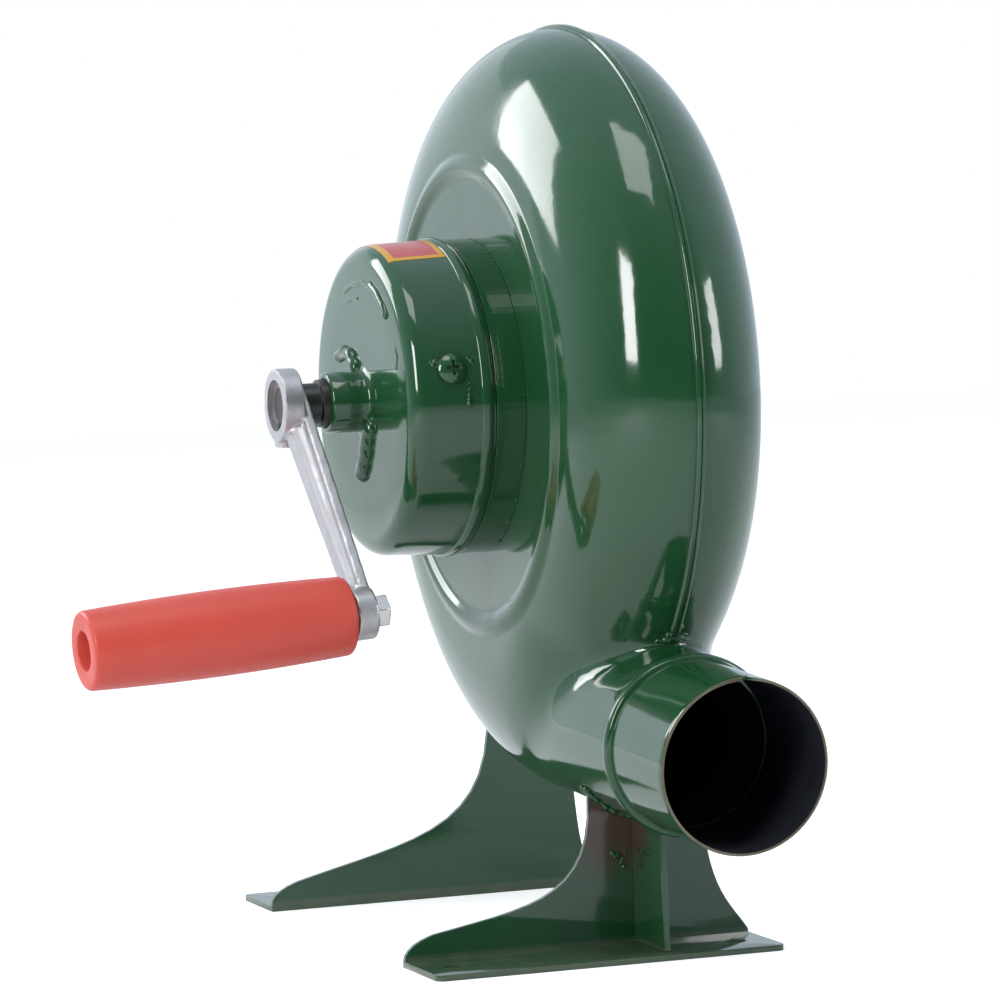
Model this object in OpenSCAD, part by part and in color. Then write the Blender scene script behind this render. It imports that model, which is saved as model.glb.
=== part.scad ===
// Hand crank forge blower: a spiral sheet steel fan housing on two feet,
// a coaxial step-up gearbox, a crank with a turning grip and a fan inside.
// Millimetres. The origin is the middle of the four foot bolt holes on the base plane,
// +X points to the outlet, -Y to the crank and +Z up.

/* [Fan housing] */
// Height of the fan axis above the base
axis_height = 182; // [175:1:195]
// Distance of the fan axis towards the outlet from the middle of the feet
axis_shift = 9.5; // [4:0.5:16]
// Distance of the seam plane behind the middle of the bolt holes
seam_shift = 27; // [20:1:34]
// Reach of the spiral rim from the fan axis, level with the axis on the outlet side
rim_r = 119.5; // [117:0.5:122]
// Growth of the spiral rim up to its top
quarter_growth = 3.5; // [3:0.5:4]
// Growth of the spiral rim in the quarter past its top
late_growth = 1.5; // [1:0.5:2.5]
// Depth of each half shell, from the seam to its flat face
half_depth = 35; // [33:0.5:38]
// Width of the rounded shoulder between the flat face and the rim
shoulder_w = 46; // [42:1:50]
// Thickness of the pressed sheet
sheet_t = 1.5; // [1.2:0.1:2]
// Height of the seam lip outside the rim
lip_h = 1.1; // [0.6:0.1:2]
// Width of the seam lip on each half
lip_w = 1.7; // [1:0.1:2.5]
// Radius of the raised ring on each flat face
ring_r = 77.6; // [72:0.2:82]
// Width of the raised ring
ring_w = 8; // [5:0.5:10]
// Height of the raised ring
ring_h = 1.8; // [1:0.1:2.5]

/* [Outlet] */
// Outside radius of the outlet sleeve
sleeve_r = 28.5; // [26:0.5:30]
// Length of the outlet sleeve
sleeve_len = 49; // [40:1:60]
// Wall of the outlet sleeve
sleeve_t = 1.2; // [1:0.1:1.6]
// Height of the outlet axis below the fan axis at the mouth
mouth_drop = 114; // [110:0.5:117]
// Distance of the mouth from the fan axis
mouth_reach = 147; // [138:1:160]
// Downward lean of the outlet in degrees
outlet_lean = 3; // [0:0.5:4]
// Outside radius of the short neck that the shells form
neck_r = 28.9; // [28:0.1:30]
// Width of the rolled bead at the root of the sleeve
root_bead_w = 5; // [3:0.5:7]
// Height of that bead above the sleeve
root_bead_h = 2; // [1:0.1:2.5]

/* [Feet] */
// Distance between the upright webs of the two feet
foot_span = 142; // [136:1:150]
// Length of each foot along the crank axis
foot_len = 121; // [116:1:126]
// Width of the turned-out flange
flange_w = 34.5; // [32:0.5:38]
// Thickness of the foot plate
foot_t = 2; // [1.5:0.1:2.5]
// Distance between the two bolt holes of a foot
hole_pitch = 98; // [90:1:102]
// Distance of the bolt holes from the web
hole_offset = 19; // [16:0.5:22]
// Radius of the bolt holes
hole_r = 3.5; // [2.5:0.1:4.5]
// Gap filled by the weld between a foot and the housing
weld_gap = 0.2; // [0.1:0.05:0.4]
// Reach of the gusset from the web at its foot
gusset_w = 27; // [22:0.5:30]

/* [Gearbox] */
// Outside radius of the gearbox cups
cup_r = 53; // [52:0.1:54.5]
// Wall of the gearbox cups
cup_t = 1.2; // [1:0.1:1.4]
// Distance of the cover face in front of the seam plane
cover_front = 74.2; // [74:0.1:75]
// Distance of the joint between the cups in front of the seam plane
joint_front = 45.5; // [44:0.5:47]
// Width of the rolled rim of the cover
rim_bead_w = 5; // [4:0.5:6]
// Height of the rolled rim above the cover
rim_bead_h = 0.9; // [0.5:0.1:1.4]
// Rounding of the cover face edge
cover_round = 3.6; // [2:0.2:4.4]
// Distance of the cover screws in front of the seam plane
screw_front = 60; // [57:0.5:62]
// Radius of the cover screw heads
screw_head_r = 5; // [4:0.1:5.5]
// Number of cover screws
screw_count = 3; // [2:1:4]
// Radius of the crank boss on the cover
boss_r = 9.7; // [9.4:0.1:10.5]
// Length of the crank boss
boss_len = 9.5; // [8:0.1:12]

/* [Gear train] */
// Gear module, the pitch diameter for each tooth
gear_module = 0.8; // [0.79:0.005:0.81]
// Teeth of the ring gear on the crank shaft
ring_teeth = 79; // [79:1:79]
// Teeth of the idler gear
idler_teeth = 53; // [53:1:53]
// Teeth of each small pinion
pinion_teeth = 13; // [13:1:13]
// Direction of the idler from the crank axis in degrees
idler_angle = 90; // [60:5:120]

/* [Fan] */
// Outside radius of the impeller
fan_r = 97; // [90:1:100]
// Number of impeller blades
blade_count = 8; // [6:1:12]
// Thickness of the impeller blades
blade_t = 2.2; // [1.5:0.1:3]
// Radius of the fan shaft
fan_shaft_r = 4; // [3.6:0.1:4]
// Radius of the air inlet
inlet_r = 37; // [34:0.5:40]

/* [Crank] */
// Distance between the crank shaft and the handle bolt
crank_len = 85; // [80:0.5:94]
// Rest angle of the crank below the outlet direction in degrees
crank_angle = -51.5; // [-60:0.5:-45]
// Lean of the crank arm towards the gearbox in degrees
crank_lean = 4.4; // [3:0.2:5.4]
// Radius of the crank hub
hub_r = 12.3; // [11:0.1:13]
// Thickness of the crank hub
hub_t = 6.9; // [6.4:0.1:8]
// Radius of the crank eye
eye_r = 8.7; // [8:0.1:9.5]
// Thickness of the crank eye
eye_t = 7.1; // [6.4:0.1:8]
// Width of the crank arm at the hub
arm_w = 12.5; // [11.5:0.5:14]
// Thickness of the crank arm
arm_t = 4.2; // [3.6:0.1:5]
// Radius of the crank shaft in its bush
crank_shaft_r = 6; // [5.5:0.1:6.2]

/* [Grip] */
// Length of the grip
grip_len = 90; // [84:1:100]
// Radius of the grip at its ends
grip_end_r = 13; // [12:0.1:13.6]
// Radius of the grip at its middle
grip_mid_r = 14.1; // [13.5:0.1:15.5]
// Radius of the bolt shoulder that the grip turns on
grip_bolt_r = 4; // [3.6:0.1:4.4]
// Radius of the recess for the bolt head
grip_recess_r = 6.4; // [6.2:0.1:7]

/* [Hidden] */
$fn = 96;

// Overrun of every cut and the small clearances that repeat
cut = 1;
run_gap = 0.05;
seat_gap = 0.02;
end_gap = 0.3;

// Profile points are held on a fine grid, so the arcs of the spiral meet without slivers
grid = 1000;
function snap(v) = round(v * grid) / grid;

// Spiral rim: arcs that meet level with and above the fan axis, tangent to each other
half_growth = quarter_growth / 2;
late_centre = half_growth - late_growth;
arc_centre = [[half_growth, half_growth], [-half_growth, half_growth], [-half_growth, late_centre]];
arc_r = [rim_r - half_growth, rim_r + half_growth, rim_r + half_growth + late_growth];
arc_start = [0, 0, 90];
arc_sweep = [-102, 90, 90];
section_steps = 14;

// Outlet axis in the plane of the seam, from its mouth back to its root
outlet_dir = [cos(outlet_lean), -sin(outlet_lean)];
mouth = [mouth_reach, -mouth_drop];
root = mouth - sleeve_len * outlet_dir;
outlet_down = [-sin(outlet_lean), -cos(outlet_lean)];

// The last arc of the rim runs out just under the neck, parallel to it
runout_start = 180;
runout_end = 270 - outlet_lean;
runout_step = 0.7;
rim_left = arc_centre[2][0] - arc_r[2];
runout_reach = root * outlet_down + neck_r + runout_step;
runout_rest = rim_left * outlet_down[0] + arc_centre[2][1] * outlet_down[1];
runout_r = snap((runout_reach - runout_rest) / (1 + outlet_down[0]));
runout_centre = [rim_left + runout_r, arc_centre[2][1]];
neck_len = (root - runout_centre) * outlet_dir;
neck_overlap = 4;
// A tighter arc closes the last one over the neck
closing_r = 60;
closing_centre = runout_centre - [0, runout_r - closing_r];
lip_start = -52;

// Foot sizes
foot_bend_r = 3;
flange_corner_r = 3;
foot_front = -foot_len / 2;
toe_h = 10;
heel_h = 6;
right_neck_front = -22 + seam_shift;
right_neck_back = 18 + seam_shift;
left_neck_front = -5 + seam_shift;
left_neck_back = 25 + seam_shift;
neck_rise = 44;
left_neck_rise = 58;
web_top_share = 0.8;
web_top = axis_height - web_top_share * rim_r;
neck_taper = 1;
// Handles of the web curves, as shares of the run to the neck and of the rise
toe_handle_share = [0.62, 0.36];
neck_handle_share = [0.055, 0.38];
back_handle_share = [0.055, 0.35];
heel_handle_share = 0.28;
toe_corner_share = 0.8;
toe_steps = 5;
flare_steps = 12;
gusset_side = -6 + seam_shift;
gusset_top_w = 24;
gusset_t = 2.2;

// Gearbox sizes
cover_inner = cover_front - cup_t;
base_inner = half_depth + cup_t;
spigot_front = 66;
spigot_gap = 0.15;
spigot_r = cup_r - cup_t - spigot_gap;
hub_hole_r = 14.2;
housing_r = 14;
housing_flange_r = 19.5;
housing_flange_t = 3;
housing_screw_pcr = 17;
housing_screw_r = 1.5;
housing_screw_count = 3;
housing_screw_angle = 30;
housing_screw_head_r = 2.4;
housing_screw_head_t = 1.8;
housing_back = 22;
housing_front = 46;
bearing_r = 11;
bearing_w = 7;
bearing_step_r = 9.6;
bearing_inner_r = 6.3;
bearing_outer_groove_r = 8.9;
groove_depth = 0.4;
ball_r = 1.75;
ball_pcr = (bearing_inner_r + bearing_outer_groove_r) / 2;
ball_count = 7;
ball_gap = 0.04;
bearing_inset = 1;
bearing_fronts = [housing_back + bearing_w + bearing_inset, housing_front - bearing_inset];
bush_r = 7.9;
bush_flange_r = 11;
bush_flange_t = 1.2;
cover_screw_hole_r = 2.1;
cover_screw_r = 2;
cover_screw_len = 8;
cover_screw_angle = 13;
screw_lift = 0.1;
label_t = 0.25;
label_angles = [66.5, 118];
corner_steps = 8;
// Radius of a screw or rivet dome as a share of its head radius
dome_share = 1.5;

// Gear sizes
ring_pitch_r = gear_module * ring_teeth / 2;
idler_pitch_r = gear_module * idler_teeth / 2;
pinion_pitch_r = gear_module * pinion_teeth / 2;
gear_distance = ring_pitch_r - pinion_pitch_r;
pressure_angle = 20;
addendum = 0.8 * gear_module;
ring_addendum = 0.5 * gear_module;
dedendum = 1.1 * gear_module;
tooth_relief = 0.06;
flank_steps = 4;
idler_centre = gear_distance * [cos(idler_angle), sin(idler_angle)];
fan_pinion_back = 48;
fan_pinion_len = 8.5;
idler_gear_back = 49;
idler_gear_t = 6;
idler_hub_back = 48.4;
idler_hub_r = 4.2;
idler_shoulder_r = 5.6;
idler_teeth_back = 57;
idler_teeth_front = 66.3;
idler_pin_r = 2.5;
idler_post_r = 5;
idler_flange_r = 6;
idler_flange_t = 2;
idler_hole_share = [0.58, 0.2];
idler_hole_count = 5;
clip_r = 4;
clip_t = 0.6;
clip_back = idler_teeth_front + end_gap / 2;
ring_outer_r = 36;
ring_disc_t = 3;
ring_disc_front = 71;
ring_hub_r = 10;
ring_hub_back = 65;
ring_rim_back = 57.2;
ring_hole_share = [0.62, 0.16];
ring_hole_count = 6;
pinion_bore_share = 0.55;
pinion_bore_r = pinion_bore_share * pinion_pitch_r;

// Fan sizes
fan_disc_front = 19;
fan_disc_t = 2;
fan_hub_r = 11;
fan_hub_back = -4;
blade_inner_r = 31;
blade_inner_back = -17;
blade_outer_back = -9;
blade_lean = 12;
blade_reach_share = 0.985;
blade_root = 0.5;
fan_washer_t = 1.4;
fan_washer_r = 8;
fan_nut_t = 6;
fan_nut_r = 7.5;
shaft_tip_back = -14;
guard_r = 46;
guard_t = 1.2;
guard_ring_r = 23;
guard_ring_w = 5;
guard_bar_w = 6;
guard_centre_r = 9;
rivet_r = 1.8;
rivet_head_r = 3.4;
rivet_pcr = 41.5;
rivet_count = 4;
rivet_angle = 30;

// Crank sizes
collar_gap = 0.4;
collar_front = cover_front + boss_len + collar_gap;
collar_t = 6.1;
collar_r = 8;
collar_neck_r = 6.9;
hub_back = 97.9;
hub_mid = hub_back + hub_t / 2;
hub_recess_r = 8.6;
hub_recess_t = 1.2;
shaft_end_gap = 1.6;
arm_end_w = 11.2;
rib_r = 3.5;
rib_end_r = 3.2;
lug_angle = -96;
lug_r = 4.2;
lug_reach = 14;
set_screw_r = 2.5;
set_screw_len = 5.4;
set_screw_hex_r = 1.5;
bolt_thread_r = 3;
eye_hole_r = 3.1;
nut_t = 5.1;
nut_r = 5.77;
washer_t = 1.3;
washer_r = 6.5;
bolt_head_r = 5.6;
bolt_head_t = 4;
bolt_end = 0.9;
recess_depth = 14;
grip_round = 1.6;
grip_steps = 16;
grip_corner_steps = 4;
grip_back = eye_t / 2 + washer_t + end_gap;
head_seat = grip_back + grip_len - recess_depth + end_gap;

housing_green = [0.09, 0.27, 0.15];
bright_steel = [0.75, 0.75, 0.76];
cast_alloy = [0.7, 0.7, 0.72];
label_red = [0.75, 0.1, 0.1];
bronze = [0.72, 0.53, 0.26];
dark_steel = [0.2, 0.2, 0.22];
black_oxide = [0.1, 0.1, 0.11];
grip_red = [0.82, 0.2, 0.14];

// Fan axis frame: X to the outlet, Y up and Z towards the crank, from the seam plane
module on_axis() {
    translate([axis_shift, seam_shift, axis_height]) rotate([90, 0, 0]) children();
}

// Tube of revolution about the fan axis between two stations
module ring_band(outer, inner, back, front) {
    difference() {
        translate([0, 0, back]) cylinder(r = outer, h = front - back);
        translate([0, 0, back - cut]) cylinder(r = inner, h = front - back + 2 * cut);
    }
}

// Half of the housing section: flat face, elliptical shoulder and rim
function half_section(rim, depth, width, steps) =
    concat([[0, 0], [0, snap(depth)]], [for (i = [0 : steps]) let (a = 90 * i / steps)
        [snap(rim - width + width * sin(a)), snap(depth * cos(a))]]);

// A sector with a negative sweep runs down from the level of its centre
module turned(start, sweep) {
    if (sweep < 0) mirror([0, 1, 0]) children();
    else rotate([0, 0, start]) children();
}

module scroll_sector(centre, start, sweep, rim, inset) {
    translate([centre[0], centre[1], 0]) turned(start, sweep)
        rotate_extrude(angle = abs(sweep))
            polygon(half_section(rim - inset, half_depth - inset, shoulder_w, section_steps));
}

module neck_bar(inset, back, length) {
    translate([root[0], root[1], 0]) rotate([0, 0, -outlet_lean]) rotate([0, 90, 0])
        translate([0, 0, -back]) cylinder(r = neck_r - inset, h = length);
}

// Solid front half of the housing, shrunk or grown all round by the inset
module housing_half(inset) {
    overrun = inset > 0 ? cut : 0;
    for (k = [0 : 2]) scroll_sector(arc_centre[k], arc_start[k], arc_sweep[k], arc_r[k], inset);
    scroll_sector(runout_centre, runout_start, 90, runout_r, inset);
    intersection() {
        neck_bar(inset, neck_len + neck_overlap, neck_len + neck_overlap + overrun);
        front_space();
    }
}

module front_space() {
    translate([-2 * rim_r, -2 * rim_r, 0]) cube([4 * rim_r, 4 * rim_r, 2 * half_depth]);
}

// Lip of the seam along the spiral, from the tongue to the run-out
module lip_sector(centre, start, sweep, rim) {
    translate([centre[0], centre[1], 0]) turned(start, sweep)
        rotate_extrude(angle = abs(sweep))
            translate([snap(rim - sheet_t), 0]) square([snap(sheet_t + lip_h), lip_w]);
}

module seam_lip() {
    lip_sector(arc_centre[0], arc_start[0], lip_start, arc_r[0]);
    for (k = [1, 2]) lip_sector(arc_centre[k], arc_start[k], arc_sweep[k], arc_r[k]);
    lip_sector(runout_centre, runout_start, runout_end - runout_start, runout_r);
}

// Raised ring on the flat face, a shallow bead whose round back shows
module face_ring() {
    bead_r = (ring_w * ring_w / 4 + ring_h * ring_h) / (2 * ring_h);
    rotate_extrude() translate([ring_r, half_depth + ring_h - bead_r]) circle(r = bead_r);
}

// The housing with the closing arc, as the shells need it inside and out
module closed_half(inset) {
    housing_half(inset);
    scroll_sector(closing_centre, 270, 90, closing_r, inset);
}

module half_shell() {
    difference() {
        union() {
            closed_half(0);
            seam_lip();
            face_ring();
        }
        closed_half(sheet_t);
    }
}

module volute_front_shell() {
    color(housing_green) on_axis() difference() {
        half_shell();
        translate([0, 0, half_depth - 2 * sheet_t]) cylinder(r = hub_hole_r, h = 4 * sheet_t);
        housing_screw_places() cylinder(r = housing_screw_r, h = 2 * half_depth);
    }
}

module volute_rear_shell() {
    color(housing_green) on_axis() mirror([0, 0, 1]) difference() {
        half_shell();
        translate([0, 0, half_depth - 2 * sheet_t]) cylinder(r = inlet_r, h = 4 * sheet_t);
        rivet_places() cylinder(r = rivet_r, h = 4 * sheet_t, center = true);
    }
}

// Places of the screws around the bearing housing
module housing_screw_places() {
    for (i = [0 : housing_screw_count - 1])
        rotate([0, 0, housing_screw_angle + i * 360 / housing_screw_count])
            translate([housing_screw_pcr, 0, 0]) children();
}

// Places of the guard rivets on the outside of the flat face
module rivet_places() {
    for (i = [0 : rivet_count - 1]) rotate([0, 0, rivet_angle + i * 360 / rivet_count])
        translate([rivet_pcr, 0, half_depth]) children();
}

module outlet_sleeve() {
    back = end_gap / 2;
    bead_mid = root_bead_w / 2;
    color(housing_green) on_axis() translate([root[0], root[1], 0]) rotate([0, 0, -outlet_lean])
        rotate([0, 90, 0]) rotate_extrude() difference() {
            union() {
                translate([sleeve_r - sleeve_t, back]) square([sleeve_t, sleeve_len - back]);
                intersection() {
                    translate([sleeve_r - root_bead_h / 2, bead_mid + back])
                        bead_circle(bead_mid, root_bead_h);
                    translate([sleeve_r - sleeve_t, 0]) square([2 * root_bead_w, 2 * root_bead_w]);
                }
            }
            translate([0, -cut]) square([sleeve_r - sleeve_t, 2 * root_bead_w]);
        }
}

// Round bead outline of half width w and height h
module bead_circle(w, h) {
    r = (w * w + h * h) / (2 * h);
    translate([h / 2 + h - r, 0]) circle(r = r);
}

// Cubic curve through two ends and two handles
function curve_point(p, t) = pow(1 - t, 3) * p[0] + 3 * t * pow(1 - t, 2) * p[1]
    + 3 * t * t * (1 - t) * p[2] + pow(t, 3) * p[3];
function curve(p, steps) = [for (i = [0 : steps]) curve_point(p, i / steps)];

// Outline of a foot web in the plane of the crank axis and the upright
function toe_points(toe) = [[toe, foot_t], [toe, toe_h / 2], [toe + toe_h / 3, toe_corner_share * toe_h],
    [toe + toe_h, toe_h]];
function front_points(toe, neck, rise) = [[toe + toe_h, toe_h],
    [toe + toe_handle_share[0] * (neck - toe), toe_handle_share[1] * rise],
    [neck - neck_handle_share[0] * rise, neck_handle_share[1] * rise], [neck, rise]];
function back_points(heel, neck, rise) = [[neck, rise],
    [neck + back_handle_share[0] * rise, back_handle_share[1] * rise],
    [heel - heel_h, heel_handle_share * rise], [heel, heel_h / 2]];
function web_outline(neck_front, neck_back, rise) = concat(
    curve(toe_points(foot_front), toe_steps),
    curve(front_points(foot_front, neck_front, rise), flare_steps),
    [[neck_front + neck_taper, web_top], [neck_back - neck_taper, web_top]],
    curve(back_points(-foot_front, neck_back, rise), flare_steps),
    [[-foot_front, foot_t]]);

// One foot: an upright web and a flange turned towards +X
module foot(neck_front, neck_back, rise) {
    corner = flange_corner_r;
    difference() {
        union() {
            rotate([90, 0, 90]) linear_extrude(foot_t) polygon(web_outline(neck_front, neck_back, rise));
            translate([0, foot_front, 0]) cube([foot_bend_r, foot_len, foot_t]);
            translate([corner, foot_front, 0]) cube([flange_w - 2 * corner, foot_len, foot_t]);
            translate([0, foot_front + corner, 0]) cube([flange_w, foot_len - 2 * corner, foot_t]);
            for (s = [-1, 1]) translate([flange_w - corner, s * (foot_len / 2 - corner), 0])
                cylinder(r = corner, h = foot_t);
        }
        for (s = [-1, 1]) translate([hole_offset, s * hole_pitch / 2, -cut])
            cylinder(r = hole_r, h = foot_t + 2 * cut);
    }
}

module housing_outer() {
    on_axis() {
        housing_half(-weld_gap);
        mirror([0, 0, 1]) housing_half(-weld_gap);
        lip_room();
    }
}

// Room for the seam lip where a foot crosses it
module lip_room() {
    for (k = [0 : 2]) lip_room_sector(arc_centre[k], arc_start[k], arc_sweep[k], arc_r[k]);
    lip_room_sector(runout_centre, runout_start, runout_end - runout_start, runout_r);
}

module lip_room_sector(centre, start, sweep, rim) {
    translate([centre[0], centre[1], -lip_w - weld_gap]) turned(start, sweep)
        rotate_extrude(angle = abs(sweep))
            square([snap(rim + lip_h + weld_gap), 2 * lip_w + 2 * weld_gap]);
}

module right_foot() {
    color(housing_green) difference() {
        translate([foot_span / 2, 0, 0]) foot(right_neck_front, right_neck_back, neck_rise);
        housing_outer();
    }
}

module left_foot() {
    color(housing_green) difference() {
        translate([-foot_span / 2, 0, 0]) mirror([1, 0, 0])
            foot(left_neck_front, left_neck_back, left_neck_rise);
        housing_outer();
    }
}

module foot_gusset() {
    base_x = foot_span / 2 + foot_t;
    top = axis_height - mouth_drop;
    color(housing_green) difference() {
        translate([base_x, gusset_side + gusset_t / 2, foot_t]) rotate([90, 0, 0]) linear_extrude(gusset_t)
            polygon([[0, 0], [gusset_w, 0], [gusset_top_w, top], [0, top]]);
        on_axis() neck_bar(-weld_gap, 2 * neck_r, 2 * neck_r + sleeve_len);
        on_axis() neck_bar(-root_bead_h - weld_gap, -weld_gap, sleeve_len);
    }
}

module gearbox_base() {
    color(housing_green) on_axis() difference() {
        union() {
            translate([0, 0, half_depth]) cylinder(r = cup_r, h = cup_t);
            ring_band(cup_r, cup_r - cup_t, half_depth, joint_front - end_gap);
            ring_band(spigot_r, spigot_r - cup_t, half_depth, spigot_front);
        }
        translate([0, 0, half_depth - cut]) cylinder(r = hub_hole_r, h = 3 * cut);
        housing_screw_places() cylinder(r = housing_screw_r, h = 2 * half_depth);
        on_idler() translate([0, 0, half_depth - cut]) cylinder(r = idler_pin_r, h = 3 * cut);
        cover_screw_places() cylinder(r = cover_screw_r, h = 2 * cover_screw_len);
    }
}

// Places of the cover screws: each looks outwards along its own radius
module cover_screw_places() {
    for (i = [0 : screw_count - 1]) rotate([0, 0, cover_screw_angle + i * 360 / screw_count])
        translate([cup_r - cover_screw_len, 0, screw_front]) rotate([0, 90, 0]) children();
}

// Rounded corner of the cover between its wall and its face
function cover_corner(r, front, round) = [for (i = [0 : corner_steps]) let (a = 90 * i / corner_steps)
    [r - round + round * cos(a), front - round + round * sin(a)]];

module gearbox_cover() {
    bead_r = (rim_bead_w * rim_bead_w / 4 + rim_bead_h * rim_bead_h) / (2 * rim_bead_h);
    color(housing_green) on_axis() difference() {
        union() {
            rotate_extrude() polygon(concat([[0, joint_front]], [[cup_r, joint_front]],
                cover_corner(cup_r, cover_front, cover_round), [[0, cover_front]]));
            rotate_extrude() intersection() {
                translate([cup_r + rim_bead_h - bead_r, joint_front + rim_bead_w / 2]) circle(r = bead_r);
                translate([cup_r - cup_t / 2, joint_front]) square([rim_bead_w, rim_bead_w]);
            }
        }
        rotate_extrude() polygon(concat([[0, joint_front - cut]], [[cup_r - cup_t, joint_front - cut]],
            cover_corner(cup_r - cup_t, cover_inner, cover_round - cup_t), [[0, cover_inner]]));
        translate([0, 0, cover_inner - cut]) cylinder(r = bush_r + seat_gap, h = 3 * cut);
        cover_screw_places() cylinder(r = cover_screw_hole_r, h = 2 * cover_screw_len);
    }
}

module cover_screws() {
    seat = cover_screw_len + screw_lift;
    color(bright_steel) on_axis() cover_screw_places() {
        cylinder(r = cover_screw_r - seat_gap, h = seat + screw_lift);
        difference() {
            intersection() {
                translate([0, 0, seat]) cylinder(r = screw_head_r, h = screw_head_r / 2);
                translate([0, 0, cover_screw_len - screw_head_r]) sphere(r = dome_share * screw_head_r);
            }
            for (q = [0, 90]) rotate([0, 0, q])
                translate([-screw_head_r / 2, -screw_head_r / 10, cover_screw_len + screw_head_r / 4])
                    cube([screw_head_r, screw_head_r / 5, screw_head_r]);
        }
    }
}

module cover_label() {
    back = joint_front + rim_bead_w;
    color(label_red) on_axis() rotate([0, 0, label_angles[0]])
        rotate_extrude(angle = label_angles[1] - label_angles[0])
            translate([cup_r, back]) square([label_t, cover_front - cover_round - back]);
}

module crank_boss() {
    color(housing_green) on_axis() ring_band(boss_r, bush_r + seat_gap, cover_front, cover_front + boss_len);
}

module crank_bush() {
    color(bronze) on_axis() {
        ring_band(bush_r, crank_shaft_r + run_gap, cover_inner - bush_flange_t, cover_front + boss_len);
        ring_band(bush_flange_r, crank_shaft_r + run_gap, cover_inner - bush_flange_t, cover_inner);
    }
}

module bearing_housing() {
    color(cast_alloy) on_axis() difference() {
        union() {
            translate([0, 0, housing_back]) cylinder(r = housing_r, h = housing_front - housing_back);
            translate([0, 0, base_inner]) cylinder(r = housing_flange_r, h = housing_flange_t);
        }
        translate([0, 0, housing_back - cut]) cylinder(r = bearing_step_r, h = housing_front);
        for (f = [housing_back - cut, housing_front - bearing_inset - bearing_w]) translate([0, 0, f])
            cylinder(r = bearing_r, h = bearing_inset + bearing_w + cut);
        housing_screw_places() cylinder(r = housing_screw_r, h = 2 * half_depth);
    }
}

// Machine screws that clamp the bearing housing, the gearbox base and the front shell
module housing_screws() {
    shank_back = half_depth - sheet_t;
    head_back = base_inner + housing_flange_t;
    head_r = housing_screw_head_r;
    head_t = housing_screw_head_t;
    color(bright_steel) on_axis() housing_screw_places() {
        translate([0, 0, shank_back]) cylinder(r = housing_screw_r - seat_gap, h = head_back - shank_back);
        translate([0, 0, head_back]) cylinder(r = head_r, h = head_t);
        translate([0, 0, shank_back - head_t]) cylinder(r = head_r, h = head_t, $fn = 6);
    }
}

module bearing_ring(outer, inner, front) {
    difference() {
        ring_band(outer, inner, front - bearing_w, front);
        rotate_extrude() translate([ball_pcr, front - bearing_w / 2]) circle(r = ball_r + ball_gap);
    }
}

module bearing_outer_rings() {
    color(bright_steel) on_axis() for (f = bearing_fronts)
        bearing_ring(bearing_r - seat_gap, bearing_outer_groove_r - groove_depth, f);
}

module bearing_inner_rings() {
    color(bright_steel) on_axis() for (f = bearing_fronts)
        bearing_ring(bearing_inner_r + groove_depth, fan_shaft_r + seat_gap, f);
}

module bearing_balls() {
    color(bright_steel) on_axis() for (f = bearing_fronts)
        for (i = [0 : ball_count - 1]) rotate([0, 0, i * 360 / ball_count])
            translate([ball_pcr, 0, f - bearing_w / 2]) sphere(r = ball_r);
}

module on_idler() {
    translate([idler_centre[0], idler_centre[1], 0]) children();
}

module idler_post() {
    front = clip_back + 2 * clip_t;
    color(bright_steel) on_axis() on_idler() {
        translate([0, 0, half_depth]) cylinder(r = idler_pin_r - seat_gap, h = cup_t);
        translate([0, 0, base_inner]) cylinder(r = idler_flange_r, h = idler_flange_t);
        translate([0, 0, base_inner]) cylinder(r = idler_post_r, h = idler_hub_back - base_inner - end_gap);
        difference() {
            translate([0, 0, base_inner]) cylinder(r = idler_pin_r, h = front - base_inner);
            ring_band(clip_r, idler_pin_r - clip_t / 2, clip_back, clip_back + clip_t);
        }
    }
}

module idler_clip() {
    color(bright_steel) on_axis() on_idler() difference() {
        ring_band(clip_r, idler_pin_r - clip_t / 2 + seat_gap, clip_back + seat_gap,
            clip_back + clip_t - seat_gap);
        translate([0, -idler_pin_r / 2, clip_back - cut]) cube([clip_r + cut, idler_pin_r, 3 * cut]);
    }
}

// Involute tooth outline: the point where the flank has unrolled to radius r
function roll_angle(base, r) = r <= base ? 0 : sqrt(r * r / (base * base) - 1) * 180 / PI;
function flank_angle(base, r) = roll_angle(base, r) - atan(roll_angle(base, r) * PI / 180);
function at_angle(r, a) = r * [cos(a), sin(a)];
function gear_points(teeth, tip, rootr, relief) =
    let (pitch = gear_module * teeth / 2, base = pitch * cos(pressure_angle),
        half = 90 / teeth + flank_angle(base, pitch) - relief / pitch * 180 / PI, low = max(base, rootr),
        radii = [for (s = [0 : flank_steps]) low + (tip - low) * s / flank_steps],
        foot = rootr < base ? [rootr] : [])
    [for (i = [0 : teeth - 1]) let (mid = i * 360 / teeth) each concat(
        [at_angle(rootr, mid - 180 / teeth)],
        [for (r = foot) at_angle(r, mid - half)],
        [for (r = radii) at_angle(r, mid - half + flank_angle(base, r))],
        [for (k = [flank_steps : -1 : 0]) at_angle(radii[k], mid + half - flank_angle(base, radii[k]))],
        [for (r = foot) at_angle(r, mid + half)])];

module gear_shape(teeth, tip_extra, root_extra, relief) {
    pitch = gear_module * teeth / 2;
    polygon(gear_points(teeth, pitch + tip_extra, pitch - root_extra, relief));
}

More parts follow.
